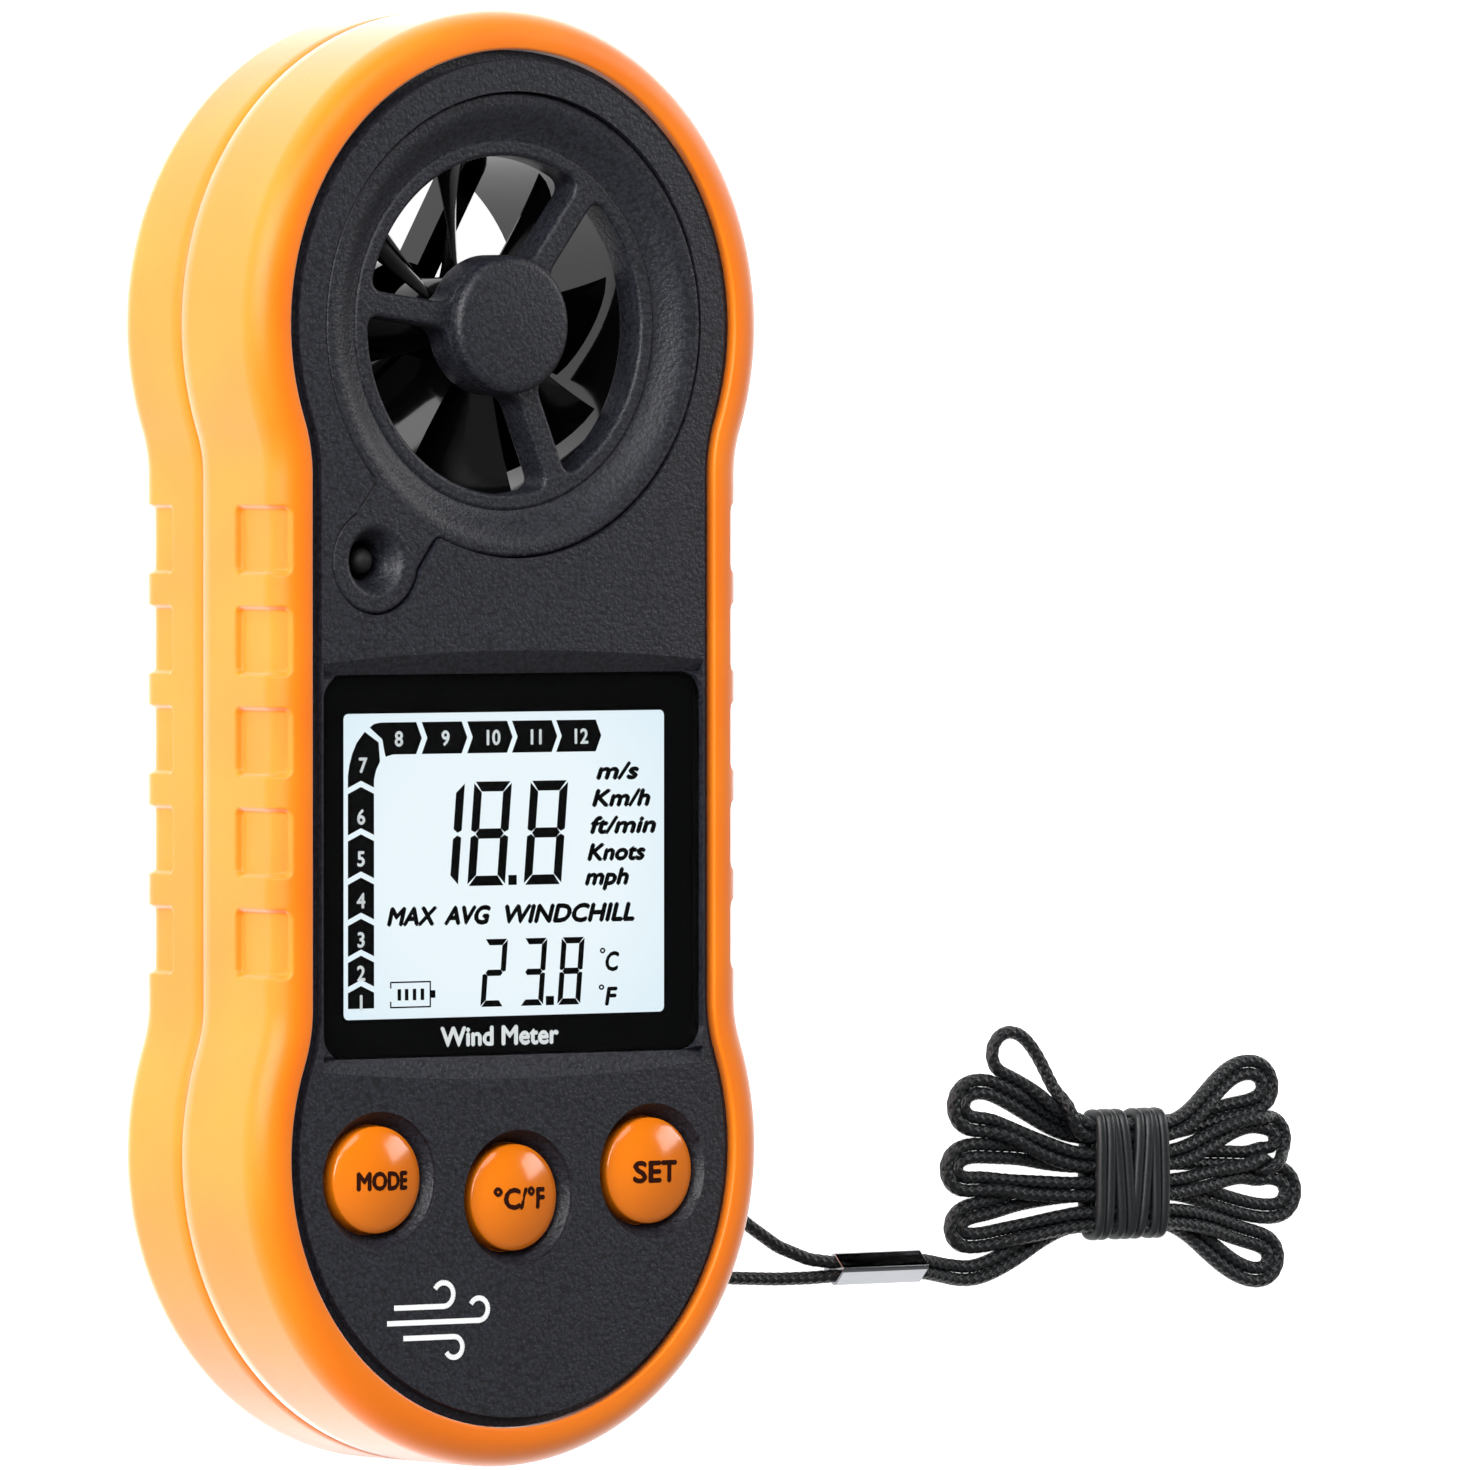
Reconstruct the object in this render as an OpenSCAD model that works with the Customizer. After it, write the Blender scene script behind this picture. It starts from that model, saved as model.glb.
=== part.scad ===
// Pocket vane anemometer lying on its back.
// +Z points out of the display face, +Y towards the fan and +X to the display's right.
// The origin is below the middle of the body, on the surface that it rests on.

/* [Body outline] */
// Radius of the round fan end and of the round button end
lobe_r = 22.7; // [20:0.1:27]
// Distance from the middle of the body to the centre of each round end
lobe_y = 29.8; // [28.6:0.1:36]
// Half of the width of the straight waist
waist_half = 20.8; // [19.6:0.1:21.2]
// Radius of the hollow curve between the waist and a round end
blend_r = 9; // [6:0.5:14]
// Overall depth of the two shell halves
body_d = 17.9; // [17.9:0.1:21.5]

/* [Shell] */
// Wall of the shell
wall = 1.6; // [1.2:0.1:2]
// Width of the orange rim round the face
rim = 2.9; // [2.5:0.1:3.2]
// Radius of the shell's outer edges
edge_r = 2.2; // [1.4:0.1:2.4]
// Width of the ledge that the cover plates lie on
ledge = 1.3; // [0.8:0.1:1.6]
// Thickness of that ledge
ledge_t = 1; // [0.8:0.1:1.2]
// Gap round plates and covers
gap = 0.08; // [0.05:0.01:0.15]

/* [Grips] */
// Number of grip recesses on each long edge
grip_count = 5; // [3:1:5]
// Distance between grip recesses
grip_pitch = 7.2; // [6:0.1:7.5]
// Length of a grip recess
grip_len = 4.7; // [3:0.1:5.5]
// Depth of a grip recess
grip_depth = 0.5; // [0.3:0.1:0.7]

/* [Cover plates] */
// Thickness of the face plate and of the back plate
plate_t = 1.7; // [1.6:0.1:2.2]
// How far the middle of the face stands above its edges
crown = 0.45; // [0.2:0.05:0.6]

/* [Fan] */
// Outer radius of the ring insert
ring_r = 16.8; // [16:0.1:17.5]
// Radius of the duct
duct_r = 13.2; // [12:0.1:13.3]
// Wall of the duct
duct_wall = 1; // [0.8:0.1:1.2]
// Radius of the opening in the guard
aperture_r = 12.2; // [11:0.1:12.4]
// Radius of the guard's hub
hub_r = 5.1; // [4:0.1:6]
// Width of a spoke
spoke_w = 1.8; // [1.4:0.1:2.4]
// Depth of a spoke
spoke_d = 3; // [2:0.1:3.2]
// Number of vanes on the impeller
vane_count = 8; // [6:1:9]
// Thickness of a vane
vane_t = 0.6; // [0.4:0.1:0.8]
// Slant of a vane from the plane of the wheel
vane_slant = 42; // [35:1:50]
// Gap between the vane tips and the duct
tip_gap = 0.6; // [0.4:0.1:1]
// Radius of the impeller's steel shaft
shaft_r = 0.5; // [0.4:0.05:0.6]
// Radial running gap between the shaft and a jewel
shaft_gap = 0.05; // [0.02:0.01:0.08]

/* [Display] */
// Width of the display window
window_w = 34; // [32:0.1:34.4]
// Height of the display window
window_h = 27.5; // [25:0.1:28]
// Distance of the window's centre below the middle of the body
window_drop = 9; // [8:0.1:10]
// Thickness of the window
window_t = 1; // [0.8:0.1:1.2]
// Width of the display's lit area
lit_w = 28.7; // [26:0.1:29.5]
// Height of the display's lit area
lit_h = 21.9; // [20:0.1:22.4]

/* [Buttons] */
// Radius of a button
button_r = 3.85; // [3:0.05:4.2]
// Radial gap round a button
button_gap = 0.15; // [0.1:0.01:0.25]
// Distance of the outer buttons from the middle
button_x = 12.2; // [11:0.1:12.6]
// How far the outer buttons sit from the round end's centre
button_drop = 1.6; // [0:0.1:2]
// How much lower the middle button sits
button_step = 1.6; // [0:0.1:2.5]
// How far a button travels
button_travel = 0.5; // [0.3:0.05:0.6]

/* [Battery] */
// Radius of the coin cell
cell_r = 10; // [8:0.1:10.2]
// Thickness of the coin cell
cell_t = 3.2; // [2:0.1:3.4]

/* [Lanyard] */
// Diameter of the cord
cord_d = 1; // [0.8:0.1:1.2]

/* [Hidden] */

orange = "#f4840f";
button_orange = "#e2701a";
dark = "#33343a";
black = "#151517";
board_green = "#1d5a3a";
steel = "#b9bcc0";
brass = "#c9a04a";

// Outline of the body: two round ends, a straight waist and hollow blends between them
blend_x = waist_half + blend_r;
blend_dy = sqrt(pow(lobe_r + blend_r, 2) - pow(blend_x, 2));
blend_y = lobe_y - blend_dy;
blend_a = atan2(blend_dy, blend_x);
arc_step = 4;

function arc(c, r, a0, a1) =
    let (n = max(2, ceil(abs(a1 - a0) / arc_step)))
    [for (i = [0 : n]) let (a = a0 + (a1 - a0) * i / n) c + r * [cos(a), sin(a)]];

function open_arc(c, r, a0, a1) =
    let (p = arc(c, r, a0, a1)) [for (i = [0 : len(p) - 2]) p[i]];

function outline(inset) = concat(
    open_arc([0, lobe_y], lobe_r - inset, -blend_a, 180 + blend_a),
    arc([-blend_x, blend_y], blend_r + inset, blend_a, 0),
    open_arc([-blend_x, -blend_y], blend_r + inset, 0, -blend_a),
    open_arc([0, -lobe_y], lobe_r - inset, 180 - blend_a, 360 + blend_a),
    arc([blend_x, -blend_y], blend_r + inset, 180 + blend_a, 180),
    open_arc([blend_x, blend_y], blend_r + inset, 180, 180 - blend_a)
);

// Heights, from the back of the body to its face
seam_z = body_d / 2 - 0.8;
face_z = body_d - 0.1;
plate_z = face_z - plate_t;
back_z = 0.3;
back_top = back_z + plate_t;
face_roll = 0.7;
crown_r = (pow(ring_r, 2) + pow(crown, 2)) / (2 * crown);
plate_inset = rim + gap;

// Fan heights and radii
duct_seam = body_d / 2;
duct_out = duct_r + duct_wall;
lip_z = face_z - 1.3;
lip_t = 1.2;
dish_in = aperture_r + 1.1;
dish_out = ring_r - 0.6;
flange_r = ring_r + 0.8;
flange_t = 1.2;
spoke_top = face_z - 0.9;
spoke_low = spoke_top - spoke_d;
rear_spoke_low = back_z + 0.5;
rear_spoke_top = rear_spoke_low + spoke_d;
front_spoke_a = 52.5;
rear_spoke_a = 60;
boss_r = 2.2;
front_boss_z = spoke_low - 0.5;
rear_boss_z = rear_spoke_top + 1.8;
jewel_r = 1.2;
jewel_t = 2;
jewel_floor = 0.5;
shaft_play = 0.15;
wheel_low = rear_boss_z + 0.7;
wheel_top = front_boss_z - 0.5;
wheel_hub_r = 3.5;
vane_r = duct_r - tip_gap;
shaft_bore_r = shaft_r + shaft_gap;
shaft_low = rear_boss_z - jewel_t + jewel_floor + shaft_play;
shaft_top = front_boss_z + jewel_t - jewel_floor - shaft_play;

// Sensor lobe on the ring insert
lobe_hole = [-12.35, lobe_y - ring_r - 0.1];
lobe_out_r = 3.9;
lobe_dish_r = 2.4;
lobe_hole_r = 1.45;
lobe_tube_r = 2.6;

// Display stack, from the window down to the circuit board
window_c = [0, -window_drop];
window_low = plate_z + 0.2;
window_top = window_low + window_t;
tape_t = 0.1;
lit_margin = 0.8;
glass_t = 1.1;
glass_w = lit_w + 2;
glass_h = lit_h + 5;
glass_top = plate_z - 0.1;
glass_low = glass_top - glass_t;
light_t = 1.5;
light_top = glass_low - 0.05;
light_low = light_top - light_t;
board_top = plate_z - 3.6;
board_t = 1.2;
board_low = board_top - board_t;
frame_wall = 1.2;
frame_w = glass_w + 2 * (frame_wall + gap);
frame_h = glass_h + 2 * (frame_wall + gap);
zebra_h = 1.8;
zebra_y = window_c[1] - glass_h / 2 + zebra_h / 2 + 0.3;
light_h = glass_h - zebra_h - 1.2;
light_c = [0, window_c[1] + (glass_h - light_h) / 2 - 0.3];
frame_top_y = window_c[1] + frame_h / 2;

// Buttons, as [x, y]
button_spots = [
    [-button_x, -lobe_y - button_drop],
    [0, -lobe_y - button_drop - button_step],
    [button_x, -lobe_y - button_drop]
];
well_r = button_r + 1.05;
well_d = 1.2;
button_hole_r = button_r + button_gap;
flange_grow = 0.6;
button_flange_t = 0.7;
button_flange_top = plate_z - 0.05;
button_flange_low = button_flange_top - button_flange_t;
button_side_top = face_z - 0.2;
button_dome = 0.9;
switch_w = 4.5;
switch_t = 1.5;
plunger_r = 0.9;
plunger_low = board_top + button_travel + 0.15;
switch_top = board_top + switch_t;

// Battery and its door
cell_c = [0, -lobe_y];
cell_low = back_top + 0.6;
cell_top = cell_low + cell_t;
cup_in_r = cell_r + 0.5;
cup_out_r = cup_in_r + 1;
cup_roof_low = cell_top + 1.4;
cup_roof_t = 0.8;
door_r = cup_out_r - 0.2;
door_arm = 5.4;
door_screw_y = -lobe_y + cup_out_r + 3.2;
door_screw = [0, door_screw_y];
door_top_y = door_screw_y + 3;
door_low = back_z + 0.1;
door_high = back_top - 0.1;
contact_t = 0.3;

// Housing screws and board screws, as [x, y]
body_boss_r = 2.2;
screw_r = 0.8;
screw_head_r = 1.5;
screw_head_t = 1;
screw_sink_r = 1.7;
screw_tip_z = plate_z - 3;
low_boss_dist = lobe_r - rim - ledge - body_boss_r - 0.1;
low_boss_a = 46;
side_boss = [waist_half - rim - ledge - body_boss_r - 0.2, frame_top_y + body_boss_r + 0.4];
low_boss = [low_boss_dist * cos(low_boss_a), -lobe_y - low_boss_dist * sin(low_boss_a)];
body_bosses = [side_boss, [-side_boss[0], side_boss[1]], low_boss, [-low_boss[0], low_boss[1]]];
board_end_y = lobe_y - flange_r - 0.3;
board_end_r = lobe_r - rim - ledge - 2.5;
board_half = waist_half - rim - ledge - 0.2;
post_r = 1.6;
board_screws_at = [[0, board_end_y - 2.6], [0, -lobe_y - board_end_r + 2.2]];
board_screw_r = 0.6;

// Lanyard: eyelets in the rear shell half, a ferrule, a folded hank and its tie
cord_r = cord_d / 2;
eyelet_r = 1.05;
eyelet_z = 4.2;
eyelet_a = [22.7, -31.4];
eyelet_b = [21.2, -39.2];
cord_sides = 8;
loop_route = [
    [41.7, -39.7, 1.2], [39.5, -39.4, 1], [36.9, -38.4, 0.7], [34.2, -36.7, 0.55],
    [31.5, -34.6, 0.5], [29.2, -33, 0.7], [27, -31.9, 1.6], [25, -31.4, 3],
    [22.7, -31.4, 4], [20.8, -31.6, 4.2], [19.3, -32.5, 4.2], [18.6, -34, 4.2],
    [18.4, -35.4, 4.2], [18.5, -37, 4.2], [19, -38.4, 4.2], [20, -39.1, 4.2],
    [21.4, -39.2, 4.1], [23.2, -39.3, 3.7], [25, -39.5, 2.6], [27, -39.9, 1.3],
    [29.5, -40.3, 0.6], [32.8, -40.6, 0.5], [36.8, -40.8, 0.6], [39.5, -40.8, 0.85],
    [41.7, -40.7, 1.2]
];
loop_half = 12;
lead_route = [[49.8, -40.2, 1.2], [51.1, -40.4, 0.95], [52.7, -40.7, 0.65], [54.5, -41, 0.5]];
ferrule_at = [41.7, -40.2];
ferrule_len = 8.1;
ferrule_half = 1.2;
ferrule_flat = 0.15;
tie_x = [65.6, 72.7];
tie_y = [-38.8, -28.9];
tie_wall = 0.5;
hank_t = 2.6;

$fn = 96;

// A profile swept round the body: its x is the distance in from the outer side, its y the height.
module around_body() {
    for (m = [0, 1]) mirror([0, m, 0]) {
        translate([0, lobe_y, 0])
            rotate([0, 0, -blend_a])
                rotate_extrude(angle = 180 + 2 * blend_a)
                    translate([lobe_r, 0]) mirror([1, 0]) children();
        for (n = [0, 1]) mirror([n, 0, 0])
            translate([blend_x, blend_y, 0])
                rotate([0, 0, 180 - blend_a])
                    rotate_extrude(angle = blend_a)
                        translate([blend_r, 0]) children();
    }
    for (n = [0, 1]) mirror([n, 0, 0])
        translate([waist_half, 0, 0])
            rotate([90, 0, 0])
                linear_extrude(2 * blend_y, center = true)
                    mirror([1, 0]) children();
}

// Profile of one shell half, with its rim at the top
module shell_profile(low, high, ledge_top) {
    round_edge = [for (i = [0 : 6]) let (a = 180 - 15 * i)
        [edge_r + edge_r * cos(a), high - edge_r + edge_r * sin(a)]];
    polygon(concat(
        [[0, low]],
        round_edge,
        [
            [rim, high],
            [rim, ledge_top],
            [rim + ledge, ledge_top],
            [rim + ledge, ledge_top - ledge_t],
            [wall, ledge_top - ledge_t],
            [wall, low]
        ]
    ));
}

// Grip recesses of one shell half whose rim is at height high
module grip_cuts(high) {
    reach = 4;
    side_low = high - 5.4;
    corner = edge_r * (1 - sqrt(0.5)) + grip_depth * sqrt(0.5);
    for (i = [0 : grip_count - 1]) {
        y = (i - (grip_count - 1) / 2) * grip_pitch;
        for (n = [0, 1]) mirror([n, 0, 0]) translate([waist_half, y, 0]) {
            translate([-grip_depth * 0.6, -grip_len / 2, side_low]) cube([reach, grip_len, reach]);
            translate([-corner, 0, high - corner])
                rotate([0, 45, 0]) translate([0, 0, reach / 2])
                    cube([3 * reach, grip_len, reach], center = true);
        }
    }
}

module front_bumper() {
    color(orange) difference() {
        around_body() shell_profile(seam_z, body_d, plate_z);
        grip_cuts(body_d);
    }
}

module rear_bumper() {
    color(orange) difference() {
        mirror([0, 0, 1]) around_body() shell_profile(-seam_z, 0, -back_top);
        mirror([0, 0, 1]) grip_cuts(0);
        for (p = [eyelet_a, eyelet_b])
            translate([p[0] - 4.4, p[1], eyelet_z]) rotate([0, 90, 0]) cylinder(r = eyelet_r, h = 9);
    }
}

module rounded_rect(size, r) {
    square([size[0] - 2 * r, size[1]], center = true);
    square([size[0], size[1] - 2 * r], center = true);
    for (x = [-1, 1], y = [-1, 1])
        translate([x * (size[0] / 2 - r), y * (size[1] / 2 - r)]) circle(r);
}

// Outline of the ring insert with its sensor lobe
module insert_outline(inset) {
    bridge_a = atan2(lobe_hole[1] - lobe_y, lobe_hole[0]);
    translate([0, lobe_y]) circle(ring_r - inset);
    translate(lobe_hole) circle(lobe_out_r - inset);
    translate([0, lobe_y]) rotate(bridge_a)
        translate([ring_r - 4, inset - lobe_out_r * 0.9])
            square([4 + lobe_out_r, 2 * (lobe_out_r * 0.9 - inset)]);
}

module at_each(spots) {
    for (p = spots) translate([p[0], p[1], 0]) children();
}

module face_plate() {
    color(dark) difference() {
        union() {
            translate([0, 0, plate_z])
                linear_extrude(plate_t - face_roll) polygon(outline(plate_inset));
            intersection() {
                translate([0, 0, plate_z])
                    linear_extrude(plate_t + crown) polygon(outline(plate_inset + face_roll));
                translate([0, 0, face_z + crown - crown_r]) rotate([90, 0, 0])
                    cylinder(r = crown_r, h = 4 * lobe_y, center = true, $fn = 720);
            }
            at_each(body_bosses) translate([0, 0, seam_z + 0.2])
                cylinder(r = body_boss_r, h = plate_z - seam_z);
            at_each(board_screws_at) translate([0, 0, board_top])
                cylinder(r = post_r, h = plate_z - board_top + 0.2);
        }
        translate([0, 0, plate_z - flange_t - gap]) linear_extrude(4) insert_outline(0);
        translate([window_c[0], window_c[1], window_low - tape_t])
            linear_extrude(4) rounded_rect([window_w, window_h], 1.8);
        translate([window_c[0], window_c[1], plate_z - 1])
            linear_extrude(4) rounded_rect([lit_w + lit_margin, lit_h + lit_margin], 1);
        for (m = [0, 1]) translate([0, window_c[1], window_top]) mirror([0, m, 0])
            translate([0, window_h / 2, 0]) rotate([-60, 0, 0])
                translate([-window_w / 2, -6, 0]) cube([window_w, 6, 6]);
        at_each(button_spots) {
            translate([0, 0, plate_z - 1]) cylinder(r = button_hole_r, h = 5);
            translate([0, 0, face_z - well_d]) cylinder(r1 = button_hole_r, r2 = well_r, h = well_d);
            translate([0, 0, face_z]) cylinder(r = well_r, h = 2);
        }
        at_each(body_bosses) translate([0, 0, seam_z]) cylinder(r = screw_r, h = screw_tip_z - seam_z);
        at_each(board_screws_at) translate([0, 0, board_top - 1]) cylinder(r = board_screw_r, h = 3.5);
    }
}

module door_outline(grow) {
    translate(cell_c) circle(door_r + grow);
    translate([0, (cell_c[1] + door_top_y) / 2])
        rounded_rect([2 * (door_arm + grow), door_top_y - cell_c[1] + 2 * grow], 1.5 + grow);
}

module back_plate() {
    color(dark) difference() {
        union() {
            translate([0, 0, back_z]) linear_extrude(plate_t) polygon(outline(plate_inset));
            at_each(body_bosses) translate([0, 0, back_z]) cylinder(r = body_boss_r, h = seam_z - back_z);
        }
        translate([0, lobe_y, back_z - 1]) cylinder(r = ring_r, h = 5);
        translate([0, 0, back_z - 1]) linear_extrude(plate_t + 2) door_outline(gap);
        at_each(body_bosses) {
            translate([0, 0, back_z - 1]) cylinder(r = screw_sink_r, h = back_top - back_z + 1);
            cylinder(r = screw_r + 0.15, h = seam_z + 1);
        }
        translate([0, 0, back_z - 1]) linear_extrude(1.15) rounded_rect([24, 14], 1);
    }
}

module rating_label() {
    color("#c9ccce") translate([0, 0, back_z + 0.02]) linear_extrude(0.13)
        rounded_rect([23.6, 13.6], 0.8);
}

// Three spokes from the hub to the duct wall
module spokes(a0, low, length) {
    for (i = [0 : 2]) rotate([0, 0, a0 + 120 * i])
        translate([0, -spoke_w / 2, low]) cube([length, spoke_w, spoke_d]);
}

module fan_front_guard() {
    insert_r = ring_r - gap;
    color(dark) difference() {
        union() {
            translate([0, lobe_y, 0]) {
                rotate_extrude() polygon([
                    [duct_r, duct_seam], [duct_r, lip_z - lip_t - 0.6], [aperture_r, lip_z - lip_t],
                    [aperture_r, lip_z], [dish_in, lip_z], [dish_out, face_z], [insert_r, face_z],
                    [insert_r, plate_z], [flange_r, plate_z], [flange_r, plate_z - flange_t],
                    [duct_out, plate_z - flange_t], [duct_out, duct_seam]
                ]);
                spokes(front_spoke_a, spoke_low, aperture_r + 0.5);
                translate([0, 0, spoke_low]) cylinder(r = hub_r, h = face_z - spoke_low);
                translate([0, 0, front_boss_z]) cylinder(r = boss_r, h = 1);
            }
            difference() {
                translate([0, 0, plate_z - flange_t])
                    linear_extrude(face_z - plate_z + flange_t) insert_outline(gap);
                translate([0, lobe_y, 0]) cylinder(r = dish_out + 0.2, h = 2 * body_d);
            }
            translate([lobe_hole[0], lobe_hole[1], board_top + 0.1])
                cylinder(r = lobe_tube_r, h = plate_z - board_top);
        }
        translate([lobe_hole[0], lobe_hole[1], board_top - 1]) cylinder(r = lobe_hole_r, h = 9);
        translate([lobe_hole[0], lobe_hole[1], face_z - 1.6])
            cylinder(r1 = lobe_hole_r, r2 = lobe_dish_r, h = 1.6 + 0.01);
        translate([0, lobe_y, front_boss_z - 1]) cylinder(r = jewel_r, h = jewel_t + 1);
    }
}

module fan_rear_guard() {
    insert_r = ring_r - gap;
    color(dark) translate([0, lobe_y, 0]) difference() {
        union() {
            rotate_extrude() polygon([
                [duct_r, duct_seam], [duct_r, back_z + 0.6], [duct_r + 0.6, back_z], [insert_r, back_z],
                [insert_r, back_top], [flange_r, back_top], [flange_r, back_top + flange_t],
                [duct_out, back_top + flange_t], [duct_out, duct_seam]
            ]);
            spokes(rear_spoke_a, rear_spoke_low, duct_r + 0.4);
            translate([0, 0, rear_spoke_low]) cylinder(r = hub_r - 0.4, h = rear_spoke_top - rear_spoke_low);
            cylinder(r = boss_r, h = rear_boss_z);
        }
        translate([0, 0, rear_boss_z - jewel_t]) cylinder(r = jewel_r, h = jewel_t + 1);
        translate([0, 0, -1]) cylinder(r = boss_r + 0.1, h = rear_spoke_low + 1);
    }
}

module duct_seal() {
    color(black) translate([0, lobe_y, duct_seam - 0.5]) difference() {
        cylinder(r = duct_out + 0.9, h = 1);
        translate([0, 0, -1]) cylinder(r = duct_out, h = 3);
    }
}

module impeller() {
    chord = (wheel_top - wheel_low) / sin(vane_slant) * 0.86;
    color(black) translate([0, lobe_y, 0]) difference() {
        union() {
            translate([0, 0, wheel_low]) cylinder(r = wheel_hub_r, h = wheel_top - wheel_low);
            intersection() {
                translate([0, 0, wheel_low]) cylinder(r = vane_r, h = wheel_top - wheel_low);
                for (i = [0 : vane_count - 1]) rotate([0, 0, 360 * i / vane_count])
                    translate([wheel_hub_r - 0.8, 0, (wheel_low + wheel_top) / 2])
                        rotate([vane_slant, 0, 0])
                            translate([0, -chord / 2, -vane_t / 2])
                                cube([vane_r, chord, vane_t]);
            }
        }
        translate([0, 0, wheel_low - 1]) cylinder(r = shaft_r, h = wheel_top - wheel_low + 2);
    }
}

module impeller_shaft() {
    color(steel) translate([0, lobe_y, shaft_low]) cylinder(r = shaft_r, h = shaft_top - shaft_low);
}

module jewel() {
    difference() {
        cylinder(r = jewel_r, h = jewel_t);
        translate([0, 0, jewel_floor]) cylinder(r = shaft_bore_r, h = jewel_t);
    }
}

module front_jewel() {
    color("#9a2740") translate([0, lobe_y, front_boss_z + jewel_t]) mirror([0, 0, 1]) jewel();
}

module rear_jewel() {
    color("#9a2740") translate([0, lobe_y, rear_boss_z - jewel_t]) jewel();
}

// Light source and receiver beside the bearing boss on the rear guard
module speed_sensor() {
    for (p = [[-4.4, -1.7], [-1.9, -4.7]]) color(black)
        translate([p[0], lobe_y + p[1], rear_spoke_top]) cube([1.4, 1.8, 1.5]);
}

module sensor_leads() {
    z = rear_spoke_top;
    color("#7b2a22") {
        translate([-duct_r + 0.2, lobe_y - 0.6, z]) cube([duct_r - 4.8, 0.4, 0.4]);
        translate([-duct_r + 0.2, lobe_y + 0.1, z]) cube([duct_r - 4.8, 0.4, 0.4]);
    }
}

module ntc_thermistor() {
    bead_z = board_top + 3.2;
    color("#1b1b1d") translate([lobe_hole[0], lobe_hole[1], 0]) {
        translate([0, 0, bead_z]) sphere(0.95);
        for (x = [-0.4, 0.4]) translate([x, 0, board_top]) cylinder(r = 0.18, h = bead_z - board_top);
    }
}

module lcd_window() {
    color("#20242a") translate([window_c[0], window_c[1], window_low])
        linear_extrude(window_t) rounded_rect([window_w - 2 * gap, window_h - 2 * gap], 1.8 - gap);
}

module window_adhesive() {
    color(black) translate([window_c[0], window_c[1], window_low - tape_t]) linear_extrude(tape_t)
        difference() {
            rounded_rect([window_w - 2 * gap, window_h - 2 * gap], 1.8 - gap);
            rounded_rect([lit_w + lit_margin + 0.6, lit_h + lit_margin + 0.6], 1);
        }
}

module lcd_panel() {
    color("#e9f5fb") translate([window_c[0], window_c[1], (glass_low + glass_top) / 2])
        cube([glass_w, glass_h, glass_t], center = true);
}

module lcd_backlight() {
    color("white") translate([light_c[0], light_c[1], (light_low + light_top) / 2])
        cube([glass_w, light_h, light_t], center = true);
}

module backlight_leds() {
    for (y = [-5, 5]) color("#f2efd8")
        translate([glass_w / 2 - 1.2, light_c[1] + y, board_top]) cube([1.2, 2.4, light_low - board_top]);
}

module lcd_frame() {
    h = plate_z - ledge_t - gap - board_top;
    color("#e6e6e2") translate([window_c[0], window_c[1], board_top]) difference() {
        translate([0, 0, h / 2]) cube([frame_w, frame_h, h], center = true);
        translate([0, 0, h / 2]) cube([glass_w + 2 * gap, glass_h + 2 * gap, h + 2], center = true);
    }
}

module lcd_connector() {
    color("#d889a2") translate([0, zebra_y, (board_top + glass_low) / 2])
        cube([glass_w - 2, zebra_h, glass_low - board_top], center = true);
}

module circuit_board() {
    color(board_green) translate([0, 0, board_low]) linear_extrude(board_t) difference() {
        union() {
            translate([-board_half, -lobe_y]) square([2 * board_half, lobe_y + board_end_y]);
            translate([0, -lobe_y]) circle(board_end_r);
        }
        at_each(body_bosses) circle(body_boss_r + 0.3);
        at_each(board_screws_at) circle(board_screw_r + 0.15);
        for (x = [-1, 1]) translate([x * (board_end_r + 3), -lobe_y - 3]) circle(4);
    }
}

module board_screws() {
    for (p = board_screws_at) color(steel) translate([p[0], p[1], 0]) difference() {
        union() {
            translate([0, 0, board_low]) cylinder(r = board_screw_r, h = board_t + 2.2);
            translate([0, 0, board_low - 0.7]) cylinder(r = 1.2, h = 0.7);
        }
        translate([0, 0, board_low - 0.8]) for (a = [0, 90]) rotate([0, 0, a])
            translate([-0.7, -0.15, 0]) cube([1.4, 0.3, 0.5]);
    }
}

module on_board_underside(p, size) {
    translate([p[0], p[1], board_low - size[2] / 2]) cube(size, center = true);
}

module controller_chip() {
    color(black) on_board_underside([-4, -3], [7, 7, 1.4]);
}

module memory_chip() {
    color(black) on_board_underside([-12, 1], [4, 5, 1.5]);
}

module crystal() {
    color(steel) on_board_underside([1.5, 4.5], [6, 2, 1.8]);
}

module small_components() {
    spots = [[-9, -9], [-6.5, -9], [-4, -9], [5, -6], [5, -3.5], [-12, -5], [-12, -7.5], [-3, 7], [-6, 7]];
    for (p = spots) color("#b59a6a") on_board_underside(p, [0.8, 1.6, 0.5]);
}

module buzzer() {
    color(black) translate([10.5, 1, board_low - 2.6]) difference() {
        cylinder(r = 4.2, h = 2.6);
        translate([0, 0, -1]) cylinder(r = 0.7, h = 2);
    }
}

module tact_switches() {
    for (p = button_spots) color(steel) translate([p[0], p[1], board_top]) difference() {
        translate([0, 0, switch_t / 2]) cube([switch_w, switch_w, switch_t], center = true);
        translate([0, 0, plunger_low - button_travel - board_top - 0.05])
            cylinder(r = plunger_r + 0.1, h = switch_t + 1);
    }
}

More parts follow.
